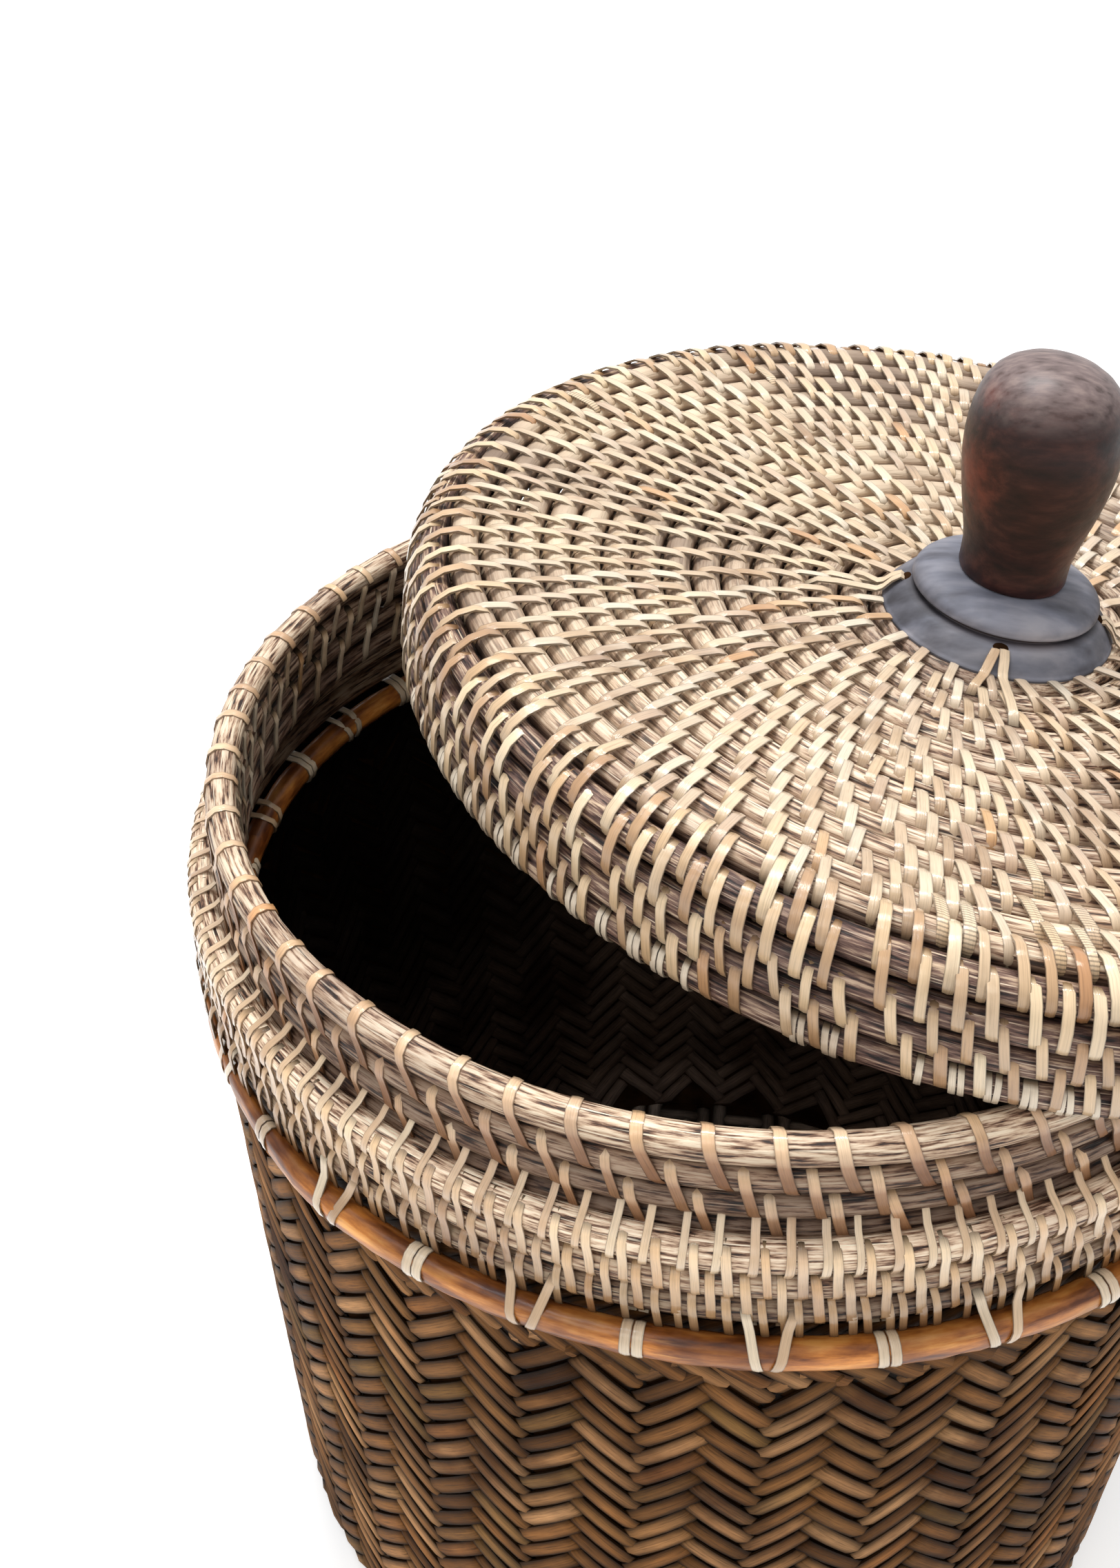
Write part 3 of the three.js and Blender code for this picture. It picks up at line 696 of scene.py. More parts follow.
# painted light and shade on the ledge's rods: the top row lit, the lower rows darker toward the hoop
windRing("ledgeRods", ledgeLook, rodMaterial("ledgeRodFibre", {**rodLook, "paintedLightLevels": [
    (250, (0.25, 0.21, 0.18)), (258, (0.46, 0.41, 0.36)), (266, (0.86, 0.81, 0.76)), (271, (1.08, 1.06, 1.03)),
    (277, 1.16)]}), "ledge_coil")

fingerStrip = modelStrip("ledgeFinger", {
    "width": 2.0, "thickness": 0.4, "crown": 0.16,
    "path": [(-8.6, -5.0), (-7.4, -3.6), (-5.6, -1.8), (-4.5, 0.8), (-3.4, 3.1), (-1.3, 4.5), (1.2, 4.6), (3.5, 3.6),
             (4.8, 1.8), (5.2, 0.0)]})
lowStrip = modelStrip("ledgeLowStitch", {
    "width": 2.05, "thickness": 0.4, "crown": 0.16,
    "path": [(-4.9, -0.6), (-4.6, 2.0), (-3.2, 3.9), (-1.2, 4.75), (1.4, 4.75), (3.6, 4.6), (5.4, 4.5), (7.4, 4.3)]})
ledgeStrip = modelStrip("ledgeStitch", {
    "width": 2.3, "thickness": 0.45, "crown": 0.18, "narrow": {0: 0.6, 9: 0.7},
    "path": [(-8.2, -0.6), (-8.1, 2.0), (-6.6, 3.9), (-4.4, 4.65), (-1.5, 4.3),
             (1.8, 4.2), (4.8, 4.55), (6.9, 3.5), (8.0, 1.4), (8.2, -0.6)]})
ledgeTones = tinted(strawTones, 0.97, 0.93, 0.88)
# painted shade and dirt darken the lower strips toward the hoop, painted light brightens the top row, and the ends are
# painted darker where they tuck in
ledgeStraw = stripMaterial("ledgeStrawStrips", {
    **strawLook, "tones": ledgeTones,
    "paintedLightAlong": [(0.0, 0.1), (0.1, 0.5), (0.2, 1.1), (0.5, 1.0), (0.8, (0.84, 0.78, 0.72)), (1.0, 0.3)],
    "paintedLightLevels": [(247, (0.3, 0.24, 0.19)), (254, (0.62, 0.55, 0.47)), (264, (0.94, 0.88, 0.82)), (272, 1.14),
               (279, 1.24)]})
# the fingers' arches are painted lighter and their ends darker: painted light and shade
fingerStraw = stripMaterial("fingerStrawStrips", {
    **strawLook, "tones": ledgeTones,
    "paintedLightAlong": [(0.0, 0.6), (0.1, 0.95), (0.3, 1.1), (0.6, 1.15), (0.85, 1.0), (1.0, 0.4)]})

ledgeCount, at = ledgeLook["stitches"], ledgeLook["stitchesAt"]
columns = [fullTurn * i / ledgeCount + lucky.uniform(-0.35, 0.35) / ledgeLook["columnsAt"] for i in range(ledgeCount)]
points = ringStitches(ledgeLook, fingerStrip, columns, 0.0, lean=-0.05)
sewPiece("ledgeFingers", fingerStrip, points, fingerStraw, tones=[lucky.uniform(0.3, 0.75) for _ in points])
points = ringStitches(ledgeLook, ledgeStrip, shifted(columns, 3.2, 0.45, at), 0.5, lean=0.09)
points += ringStitches(ledgeLook, ledgeStrip, shifted(columns, -0.9, 0.45, at), 1.5, lean=0.11)
sewPiece("ledgeStitches", ledgeStrip, points, ledgeStraw)
points = ringStitches(ledgeLook, lowStrip, shifted(columns, 3.1, 0.6, at), 2.0, lean=0.12)
points += ringStitches(ledgeLook, lowStrip, shifted(columns, 0.3, 0.5, at, share=0.4), 2.12, lean=0.1, lift=-0.35)
hangLook = {"heading": 211, "reach": 12, "share": 0.6, "out": 1.6 / 160, "down": 2.6}
for place in points:
    # at the left they hang down over the hoop
    heading = math.degrees(math.atan2(place[:, 1].mean(), place[:, 0].mean())) % 360
    hang = hangLook["share"] * math.exp(-((heading - hangLook["heading"]) / hangLook["reach"]) ** 2)
    place[:, :2] *= 1 + hangLook["out"] * hang
    place[:, 2] -= hangLook["down"] * hang
sewPiece("ledgeLowStitches", lowStrip, points, ledgeStraw)
print("neck and ledge wound and stitched")

hoopLook = {"outer": 164.39, "inner": 152.29, "radius": 4.2, "height": 245.25, "flatFrom": 2.7, "flatness": 0.4,
            "shavedAt": 200, "shavedReach": 30, "shavedShare": 0.74, "shavedFrom": 160.2, "shavedHigh": 9, "joints": 5}
# the hoop's top, under the ledge, and its underside are painted darker: painted shade
hoopCane = rodMaterial("hoopCane", {
    "tones": tonesOf((0.34, 108, 58, 22), (0.45, 164, 102, 46), (0.56, 206, 138, 66), (0.68, 232, 174, 98)),
    "grainAlong": 0.5, "grainAcross": 6.0, "fleckFrom": 0.66, "fleck": linear(218, 168, 104),
    "patchScale": 34.0, "patches": [(0.36, (0.5, 0.4, 0.34)), (0.5, (0.96, 0.9, 0.84)), (0.62, (1.25, 1.17, 1.03))],
    "paintedLightLevels": [(240.6, (0.3, 0.25, 0.22)), (242.6, (0.85, 0.8, 0.75)), (246, (1.05, 1.02, 1.0)),
               (248.4, (0.7, 0.64, 0.6)), (249.6, (0.45, 0.4, 0.38))],
    "rough": 0.34, "specular": 0.45, "bump": 0.25})


def shaveHoop(points):
    # the outer hoop's ends are shaved thin at the left, where they overlap
    look, inner = hoopLook, hoopLook["shavedFrom"]
    turned = np.degrees(np.arctan2(points[:, 1], points[:, 0])) % 360
    near = np.clip(1 - np.abs(turned - look["shavedAt"]) / look["shavedReach"], 0, 1)
    thin = look["shavedShare"] * near ** 0.6
    r = np.hypot(points[:, 0], points[:, 1])
    beyond = (r > inner) & (np.abs(points[:, 2] - look["height"]) < look["shavedHigh"])
    scale = np.where(beyond, (inner + (r - inner) * (1 - thin)) / r, 1.0)
    points = points.copy()
    points[:, :2] *= scale[:, None]
    return points


def modelHoop(name, radius, node, seed):
    chooseNothing()
    bpy.ops.mesh.primitive_torus_add(location=(0, 0, hoopLook["height"] * mm), major_radius=radius * mm,
                                     minor_radius=hoopLook["radius"] * mm, major_segments=220, minor_segments=14)
    piece = bpy.context.object
    piece.name = name
    bpy.ops.object.transform_apply(location=True, rotation=True, scale=True)
    length = fullTurn * radius / 10
    for corner in piece.data.uv_layers[0].data:
        corner.uv = (corner.uv[0] * length, corner.uv[1])
    bpy.ops.object.mode_set(mode="EDIT")
    bpy.ops.mesh.select_all(action="SELECT")
    bpy.ops.transform.resize(value=(1, 1, 0.95), center_override=(0, 0, hoopLook["height"] * mm))
    bpy.ops.object.mode_set(mode="OBJECT")
    flat = hoopLook["flatFrom"]
    for vert in piece.data.vertices:
        # split cane: the outer face is nearly flat
        out = math.hypot(vert.co.x, vert.co.y) / mm - radius
        if out > flat:
            vert.co.xy *= (radius + flat + (out - flat) * hoopLook["flatness"]) / (radius + out)
    if radius > hoopLook["shavedFrom"]:
        shaved = shaveHoop(np.array([vert.co[:] for vert in piece.data.vertices]) / mm)
        for vert, place in zip(piece.data.vertices, shaved):
            vert.co = place * mm
    bpy.ops.object.mode_set(mode="EDIT")
    bpy.ops.mesh.select_all(action="SELECT")
    bpy.ops.transform.vertex_random(offset=0.00018, normal=1.0, seed=seed)
    # swollen joints where the leaves of the cane grew
    for joint in range(hoopLook["joints"]):
        heading = (joint * 360 / hoopLook["joints"] + 20 * seed) * degree
        middle = Vector((math.cos(heading), math.sin(heading), 0)) * radius * mm
        pickVertices(piece, lambda index, co: (Vector((co.x, co.y, 0)) - middle).length < hoopLook["radius"] * mm)
        bpy.ops.transform.shrink_fatten(value=0.0003)
    bpy.ops.object.mode_set(mode="OBJECT")
    bpy.ops.object.shade_smooth()
    return finishPiece(piece, hoopCane, "basket", "hoop_cane", node)


modelHoop("outerHoopCane", hoopLook["outer"], "outer_hoop", seed=1)
modelHoop("innerHoopCane", hoopLook["inner"], "inner_hoop", seed=2)

# A lashing strip comes out of the ledge, goes down over the outer hoop, through the wall and up over the inner hoop.
# Its path is given as place down from the hoop's middle and distance out from the ledge's radius.
lashRound = [(1.9, 10.3), (3.8, 8.9), (4.5, 6.6), (4.8, 2.0), (4.7, -3.0), (4.4, -6.0), (2.4, -9.4), (0.0, -10.0),
             (-2.4, -9.3), (-4.5, -5.4), (-4.6, -1.0), (-3.4, 1.6)]
lashLook = {"width": 2.45, "thickness": 0.42, "crown": 0.2}
lashPath = downPath(ledgeLook["radius"], hoopLook["height"])
# every second lashing is a close pair; at the others the two strips spread from high on the ledge
lashings = [
    {"name": "hoopPairLashings", "apart": 1.45, "leans": (0.05, 0.05), "strip": modelStrip("hoopPairLashing", {
        **lashLook, "path": [(-1.8, 2.9), (-3.8, 4.6), (-4.55, 6.6), (-3.9, 8.9), (-2.0, 10.35),
                             (0.0, 10.75)] + lashRound})},
    {"name": "hoopLongLashings", "apart": 2.5, "leans": (0.26, -0.26), "strip": modelStrip("hoopLongLashing", {
        **lashLook, "path": [(-12.4, 3.2), (-11.4, 4.7), (-9.4, 5.3), (-7.2, 5.9), (-5.2, 7.6), (-3.4, 9.3),
                             (-1.8, 10.5), (0.2, 10.75)] + lashRound})}]
placed, placedTones = ([], []), ([], [])
lashCount, lashRadius = 36, 164
for i in range(lashCount):
    kind = i % 2
    look = lashings[kind]
    # the lashings lie ten degrees apart
    heading = (5 + 10 * i + lucky.uniform(-0.5, 0.5)) * degree
    for hand, lean in zip((-1, 1), look["leans"]):
        wide = lucky.uniform(0.92, 1.06)
        aside = hand * look["apart"] / lashRadius
        placed[kind].append(shaveHoop(layStrip(look["strip"], lashPath, 0.0, heading + aside, wide=wide, lean=lean)))
        placedTones[kind].append(lucky.choice((0.02, 0.4, 0.55, 0.7)) if kind else lucky.uniform(0.5, 0.62))
# the lashing's end where it comes out of the ledge is painted dark: painted shade
lashStraw = stripMaterial("lashingStraw", {
    **strawLook, "paintedLightAlong": [(0.0, 0.25), (0.06, 1.0), (0.5, 1.0), (1.0, 0.8)], "grainAlong": 5.0})
for kind, look in enumerate(lashings):
    nodes = [f"hoop_lashing_{i:02d}" for i in range(kind + 1, lashCount + 1, 2)]
    sewPiece(look["name"], look["strip"], placed[kind], lashStraw, *nodes, tones=placedTones[kind])
print("hoops lashed")

wallLook = {"topRadius": 159.84, "top": 249.28, "taper": 0.034, "foot": 12.0, "footRadius": 151.77, "columns": 62,
            "spacing": 9.7, "skin": 0.55, "thickness": 3.0, "bandCount": 103, "bandAt": 18.5, "columnWidth": 16.2,
            "firstTo": 28, "longTo": 50}
wallSlant = math.hypot(1, wallLook["taper"])
wallLength = (wallLook["top"] - wallLook["foot"]) * wallSlant
wallEnd = wallLength + wallLook["foot"] * math.pi / 2 + 9


def wallPath(s):
    # down the outside of the wall, round the foot and in to the edge of the base
    s = np.asarray(s, float)
    look = wallLook
    bend = look["foot"]
    a = np.clip((s - wallLength) / bend, 0, math.pi / 2)
    onWall = s <= wallLength
    inward = np.maximum(0, s - wallLength - bend * math.pi / 2)
    centre = look["footRadius"] - bend
    r = np.where(onWall, look["topRadius"] - look["taper"] * s / wallSlant, centre + bend * np.cos(a) - inward)
    z = np.where(onWall, look["top"] - s / wallSlant, bend - bend * np.sin(a))
    return (r, z, np.where(onWall, -look["taper"] / wallSlant, -np.sin(a)),
            np.where(onWall, -1 / wallSlant, -np.cos(a)))


floatStrip = modelStrip("wallFloat", {
    "width": 6.1, "thickness": 0.7, "crown": 0.7,
    "path": [(-13.2, -1.7), (-12.5, -1.4), (-11.8, -0.35), (-10.2, 0.02), (-5.0, 0.2), (0.0, 0.3), (5.0, 0.2),
             (10.2, 0.02), (11.8, -0.35), (12.5, -1.4), (13.2, -1.7)]})
# under the hoops the strips' ends are left out of the painted shade at the ends, as light as their middles
fillStrip = {**floatStrip, "along": 0.2 + 0.6 * floatStrip["along"]}


def layFloat(s, heading, aim, wide, stretch, columnWidth, side, lift):
    u, v, w = floatStrip["points"].T
    v = v * stretch
    u = u * wide
    across = v * math.cos(aim) - u * math.sin(aim)
    s = np.clip(s + v * math.sin(aim) + u * math.cos(aim), 0.6, wallEnd - 0.6)
    heading = heading + across * (columnWidth / wallLook["columnWidth"]) / wallPath(s)[0]
    # nothing goes past the core between the two faces of the wall
    high = np.maximum(w - wallLook["skin"] + lift, -1.75)
    if side < 0:
        high = -wallLook["thickness"] - high
    spot = onPath(wallPath, heading, s, high)
    # the foot is pressed flat where it stands
    spot[:, 2] = np.maximum(spot[:, 2], 0)
    return spot


def plaitWallTop(side):
    # a band that leans one way all round, just under the hoops, and the strips beneath it
    points, tones = [], []
    count = wallLook["bandCount"]
    for i in range(count):
        place = {"s": wallLook["bandAt"] + lucky.uniform(-0.6, 0.6),
                 "heading": fullTurn * (i + lucky.uniform(-0.05, 0.05)) / count,
                 "aim": (40 + lucky.uniform(-2, 2)) * degree, "wide": lucky.uniform(0.94, 1.04),
                 "stretch": lucky.uniform(1.0, 1.08), "columnWidth": wallLook["columnWidth"], "side": side,
                 "lift": lucky.uniform(-0.2, 0.0)}
        points.append(layFloat(**place))
        tones.append(lucky.random())
        for deep, lift in ((6.0, -0.6), (17.0, -1.4)):
            points.append(layFloat(**{**place, "s": deep, "heading": fullTurn * (i + deep) / count,
                                      "aim": -40 * degree, "wide": 1.08, "stretch": 1.0, "lift": lift}))
            tones.append(0.3 + 0.08 * lucky.random())
    return points, tones


def plaitWall(side):
    # returns the floats of the columns, and apart from them the first ones, which lie half under the band
    points, tones, firstPoints, firstTones = [], [], [], []
    step = fullTurn / wallLook["columns"]
    for column in range(wallLook["columns"]):
        s = 20.6 if column % 2 else 25.45
        lean = -1 if column % 2 else 1
        while s < wallEnd - 3:
            r = float(wallPath(s)[0])
            heading = (column + 0.5 + 0.05 * math.sin(s / 23 + column * 0.4)) * step + 3.42 * degree
            stretch = lucky.uniform(0.97, 1.02)
            lift = lucky.uniform(-0.12, 0.1)
            first = s < wallLook["firstTo"]
            if first:
                lift -= 0.65
            elif s < wallLook["longTo"] and lean < 0 and column % 4 == 0:
                stretch *= 1.35
                heading += 2.6 / r
                lift += 0.35
            into, toned = (firstPoints, firstTones) if first else (points, tones)
            into.append(layFloat(s + lucky.uniform(-0.3, 0.3), heading, (45 + lucky.uniform(-2, 2)) * degree * lean,
                                 lucky.uniform(0.9, 1.03), stretch, step * r, side, lift))
            toned.append(lucky.random())
            s += wallLook["spacing"]
    return points, tones, firstPoints, firstTones


# painted shade on the plait: the strips darken toward the top under the hoops, along their edges, and at their ends
# where they dive under
plaitLook = {
    "tones": tonesOf((0.0, 78, 51, 27), (0.15, 139, 98, 60), (0.3, 102, 70, 40), (0.45, 177, 133, 92),
                     (0.58, 116, 83, 49), (0.7, 143, 98, 60), (0.82, 117, 89, 53), (0.92, 186, 144, 104),
                     (1.0, 98, 66, 38)),
    "grainAcross": 14.0, "grainAlong": 2.6, "grain": [(0.3, 0.45), (0.48, 0.92), (0.7, 1.25)],
    "stainScale": 26.0, "stains": [(0.34, (0.42, 0.34, 0.28)), (0.5, (0.95, 0.9, 0.84)), (0.66, (1.3, 1.2, 1.06))],
    "paintedLightLevels": [(150, 1.0), (222, 0.98), (236, (0.72, 0.68, 0.64)), (246, (0.4, 0.36, 0.32))],
    "edge": 0.07, "edgeFrom": 0.14,
    "paintedLightAlong": [(0.0, 0.0), (0.06, 0.1), (0.1, 0.6), (0.22, 0.9), (0.5, 1.08), (0.78, 0.9), (0.9, 0.6), (0.94, 0.1),
             (1.0, 0.0)],
    "smooth": 0.5, "rough": 0.75, "bump": 0.5, "specular": 0.06,
}
plaitCane = stripMaterial("plaitedCane", plaitLook)
# inside the wall, painted light and shade: lighter toward the floor and dark toward the rim
insideCane = stripMaterial("plaitedCaneInside", {
    **plaitLook, "tones": tonesOf((0.0, 74, 62, 56), (0.5, 96, 82, 74), (1.0, 82, 68, 60)), "smooth": 0.6,
    "edge": 0.5, "paintedLightAlong": [(0.0, 0.4), (0.1, 0.9), (0.9, 0.9), (1.0, 0.4)],
    "paintedLightLevels": [(0, 2.2), (60, 1.5), (120, 0.5), (200, 0.12)]})
for side, word, material, nodes in ((1, "", plaitCane, ("wall_weave",)), (-1, "Inside", insideCane, ())):
    points, tones, firstPoints, firstTones = plaitWall(side)
    sewPiece(f"wall{word}Plait", floatStrip, points, material, *nodes, tones=tones, flipped=side < 0,
             slot="plaited_cane")
    topPoints, topTones = plaitWallTop(side)
    sewPiece(f"wallTop{word}Plait", fillStrip, topPoints + firstPoints, material, tones=topTones + firstTones,
             flipped=side < 0, slot="plaited_cane")
    print(f"wall{word} plaited, floats:", len(points) + len(firstPoints) + len(topPoints))


def spinProfile(name, profile, steps=96):
    # a single point drawn out into the profile and spun round the z axis
    chooseNothing()
    bpy.ops.mesh.primitive_plane_add(size=0.002, location=(profile[0][0] * mm, 0, profile[0][1] * mm))
    piece = bpy.context.object
    piece.name = name
    bpy.ops.object.transform_apply(location=True, rotation=True, scale=True)
    bpy.ops.object.mode_set(mode="EDIT")
    bpy.ops.mesh.select_mode(type="VERT")
    bpy.ops.mesh.select_all(action="SELECT")
    bpy.ops.mesh.merge(type="CENTER")
    for before, after in zip(profile, profile[1:]):
        bpy.ops.mesh.extrude_vertices_move(TRANSFORM_OT_translate={
            "value": ((after[0] - before[0]) * mm, 0, (after[1] - before[1]) * mm)})
    bpy.ops.mesh.select_all(action="SELECT")
    bpy.ops.mesh.spin(steps=steps, angle=fullTurn, center=(0, 0, 0), axis=(0, 0, 1))
    bpy.ops.mesh.select_all(action="SELECT")
    bpy.ops.mesh.remove_doubles(threshold=0.00002)
    bpy.ops.mesh.normals_make_consistent(inside=False)
    bpy.ops.object.mode_set(mode="OBJECT")
    bpy.ops.object.shade_smooth_by_angle(angle=math.radians(35))
    return piece


# a thin core keeps light from showing through the plait; its near-black colour is painted shade for the gaps between
# the strips
shadeCore, tree = newMaterial("paintedShadeBetweenStrips")
noise = addNoise(tree, addNode(tree, "TexCoord")["Object"], 90)
paint(shadeCore, {"Base Color": addRamp(tree, noise, tonesOf((0.35, 30, 18, 10), (0.7, 56, 36, 21))),
                 "Roughness": 1.0, "Specular IOR Level": 0.0})
coreDepths = (1.7, 2.1)
coreOut, coreIn = [], []
for s in np.concatenate([np.linspace(0.3, wallEnd - 28, 10), np.linspace(wallEnd - 26, wallEnd, 14)]):
    r, z, dr, dz = (float(c) for c in wallPath(s))
    for side, depth in zip((coreOut, coreIn), coreDepths):
        side.append((r + depth * dz, z - depth * dr))
wallCore = spinProfile("wallCore", coreOut + coreIn[::-1] + coreOut[:1], steps=124)
finishPiece(wallCore, shadeCore, "basket", "plaited_cane")

baseLook = {"radius": 130.3, "pitch": 7.2, "thickness": 3.0, "stretch": 0.76, "flatness": 0.7, "skin": 0.5,
            "core": [(0.0, 1.2), (133.0, 1.2), (133.0, 1.8), (0.0, 1.8)]}
finishPiece(spinProfile("baseCore", baseLook["core"], steps=124), shadeCore, "basket", "plaited_cane")


def plaitBase(top):
    points = []
    pitch, radius = baseLook["pitch"], baseLook["radius"]
    reach = int(radius / pitch) + 1
    u, v, w = floatStrip["points"].T
    along = v * baseLook["stretch"]
    high = w * baseLook["flatness"] - baseLook["skin"]
    for i in range(-reach, reach + 1):
        for j in range(-reach, reach + 1):
            # a float covers two cells and the next row is one cell further on
            if (i - j) % 4 == 2:
                x, y, aim = i * pitch, (j - 0.5) * pitch, math.pi / 2
            elif (i - j) % 4 == 0:
                x, y, aim = (i + 0.5) * pitch, j * pitch, 0.0
            else:
                continue
            if math.hypot(x, y) > radius - 1:
                continue
            px = x + along * math.cos(aim) - u * math.sin(aim)
            py = y + along * math.sin(aim) + u * math.cos(aim)
            shrink = np.minimum(1, (radius - 0.2) / np.maximum(np.hypot(px, py), 1))
            points.append(np.stack([px * shrink, py * shrink, baseLook["thickness"] + high if top else -high], -1))
    return points


# the inside floor is a paler, greyer copy of the plaited cane: painted light
litFloorCane = stripMaterial("plaitedCaneFloorLit", {
    **plaitLook, "tones": tonesOf((0.0, 120, 108, 100), (0.5, 176, 160, 148), (1.0, 140, 128, 120))})
sewPiece("baseInsidePlait", floatStrip, plaitBase(True), litFloorCane, slot="plaited_cane")
sewPiece("basePlait", floatStrip, plaitBase(False), plaitCane, "base_weave", flipped=False, slot="plaited_cane")
print("base plaited")

# the middle of the lid, under the knob's base, which sits on the innermost row as the solids have it
solidRow = 3.9
clearance = 0.35
seat = float(lidPath(lidLook["innermost"])[1]) + solidRow * math.cos(30 * degree)
baseUnder = seat + clearance
middleLook = {"from": 3.4, "to": 28.0, "pitch": 7.2, "rodRadius": 3.1, "down": 3.3, "stepsPerTurn": 60}
points = []
turns = (middleLook["to"] - 2 * middleLook["from"]) / middleLook["pitch"]
for i in range(int(turns * middleLook["stepsPerTurn"]) + 1):
    turn = i / middleLook["stepsPerTurn"]
    r = middleLook["from"] + middleLook["pitch"] * turn
    points.append((r * math.cos(fullTurn * turn), r * math.sin(fullTurn * turn), seat - middleLook["down"],
                   min(1.0, 0.4 + turn)))
middleFibre = rodMaterial("middleRodFibre", {key: value for key, value in plateRodLook.items() if key != "groove"})
windPiece("lidMiddleRods", points, middleLook["rodRadius"], middleFibre, "lid", "lid_middle")

knobBaseLook = {"radius": 33.2, "rim": 1.0, "bevelRise": 7.8, "bevelTop": 25.7, "groove": 24.7, "grooveTop": 9.2,
                "collar": 26.7, "collarEdge": 1.2, "rise": 15.4, "foot": 15.0, "socket": 6.9, "socketFloor": 7.05}
look = knobBaseLook
profile = [(0.0, 0.0), (look["radius"] - 0.5, 0.0), (look["radius"], 0.4), (look["radius"], look["rim"])]
for i in range(1, 9):
    share = i / 8
    profile.append((look["radius"] - (look["radius"] - look["bevelTop"]) * share,
                    look["rim"] + (look["bevelRise"] - look["rim"]) * math.sin(share * math.pi / 2)))
domeFrom = look["grooveTop"] + look["collarEdge"]
profile += [(look["groove"] + 0.2, look["bevelRise"]), (look["groove"], look["bevelRise"] + 0.3),
            (look["groove"], look["grooveTop"] - 0.2), (look["collar"] - 0.5, look["grooveTop"]),
            (look["collar"], look["grooveTop"] + 0.4), (look["collar"], domeFrom)]
for i in range(1, 10):
    turn = i / 10 * math.pi / 2
    profile.append((look["collar"] - (look["collar"] - look["foot"]) * (1 - math.cos(turn)),
                    domeFrom + (look["rise"] - domeFrom) * math.sin(turn)))
profile += [(look["foot"] - 0.4, look["rise"]), (look["socket"], look["rise"]),
            (look["socket"], look["socketFloor"]), (0.0, look["socketFloor"])]
knobBase = spinProfile("turnedKnobBase", profile, steps=128)
seatMatrix = lidMatrix @ Matrix.Translation((0, 0, baseUnder * mm))
knobBase.data.transform(seatMatrix)

slate, tree = newMaterial("slateWood")
where = addNode(tree, "TexCoord")["Object"]
grain = addNoise(tree, addMapping(tree, where, {"Scale": (0.25, 1.0, 1.0)}), 130, 6)
dust = [(0.36, (0.62, 0.6, 0.6)), (0.5, (0.98, 0.98, 1.0)), (0.66, (1.25, 1.2, 1.14))]
colour = addRamp(tree, grain, tonesOf((0.34, 80, 80, 89), (0.5, 111, 113, 124), (0.66, 138, 138, 147)))
colour = addMix(tree, "MULTIPLY", colour, addRamp(tree, addNoise(tree, where, 38, 5), dust))
# painted shade, dark at the foot of the disc and in the groove under the collar, and pale rims, partly wear and partly
# painted highlight, by height over the lid
level = addMapping(tree, where, {"Location": seatMatrix.translation, "Rotation": lidMatrix.to_euler()},
                   vector_type="TEXTURE")
height = addRange(tree, addNode(tree, "SeparateXYZ", {0: level})[2], 0.0, 0.0155)
shadeAndWornRims = addRamp(tree, height, [
    (0.0, 0.35), (0.05, 0.6), (0.1, 1.05), (0.14, 0.8), (0.44, 0.84), (0.495, (0.5, 0.46, 0.46)),
    (0.52, (0.12, 0.06, 0.06)), (0.58, (0.14, 0.07, 0.06)), (0.62, (0.7, 0.68, 0.68)), (0.66, 1.22), (0.71, 1.0),
    (1.0, 1.0)])
paint(slate, {"Base Color": addMix(tree, "MULTIPLY", colour, shadeAndWornRims), "Roughness": 0.62,
              "Normal": addBump(tree, grain, 0.2, 0.0004)})
finishPiece(knobBase, slate, "lid", "knob_base_wood", "knob_base")

knobLook = {"rise": 63.3, "lean": -0.066, "tenon": 6.0, "tenonDepth": 8.0, "shape": [
    (0.0, 14.7), (0.02, 15.2), (0.06, 15.2), (0.12, 15.3), (0.18, 16.0), (0.25, 17.1), (0.33, 18.4), (0.4, 19.4),
    (0.48, 20.4), (0.55, 21.0), (0.62, 21.25), (0.68, 21.2), (0.74, 20.8), (0.8, 20.0), (0.85, 18.9), (0.9, 17.0),
    (0.935, 14.7), (0.965, 11.5), (0.985, 7.6), (0.997, 3.4), (1.0, 0.0)]}
profile = [(0.0, -knobLook["tenonDepth"]), (knobLook["tenon"], -knobLook["tenonDepth"]), (knobLook["tenon"], 0.0)]
profile += [(r, share * knobLook["rise"]) for share, r in knobLook["shape"]]
knob = spinProfile("turnedKnob", profile)
leaning = Matrix.Identity(4)
leaning[0][2] = knobLook["lean"]
knobAt = Matrix.Translation((0, 0, (baseUnder + knobBaseLook["rise"] + clearance) * mm))
knobMatrix = lidMatrix @ knobAt @ leaning
knob.data.transform(knobMatrix)

darkWood, tree = newMaterial("darkKnobWood")
where = addNode(tree, "TexCoord")["Object"]
grainPlace = addMapping(tree, where, {"Location": -lidMatrix.translation, "Rotation": (0.0, 0.5, 0.3),
                                      "Scale": (0.2, 1.0, 0.9)})
grain = addNoise(tree, grainPlace, 260, 6, 0.62)
colour = addRamp(tree, grain, tonesOf((0.34, 24, 10, 9), (0.5, 44, 21, 18), (0.68, 68, 38, 31)))
# warm worn places: the left side under the shoulder, the upper left and the lower right;
# each is given as its place on the knob, its size and how much of the warm tone it takes
for *at, size, share in ((-19, -8, 31, 15, 0.7), (-15, -7, 55, 9, 0.95), (17, -6, 12, 20, 0.25), (16, -4, 52, 8, 0.6)):
    away = addNode(tree, "VectorMath", {0: where, 1: knobMatrix @ (Vector(at) * mm)}, operation="DISTANCE")["Value"]
    ragged = addMath(tree, "MULTIPLY_ADD", grain, -0.016, away)
    spot = addRange(tree, ragged, size * mm - 0.008, -0.012, toMax=share, interpolation_type="SMOOTHSTEP")
    colour = addMix(tree, "MIX", colour, (*linear(134, 62, 44), 1), spot)
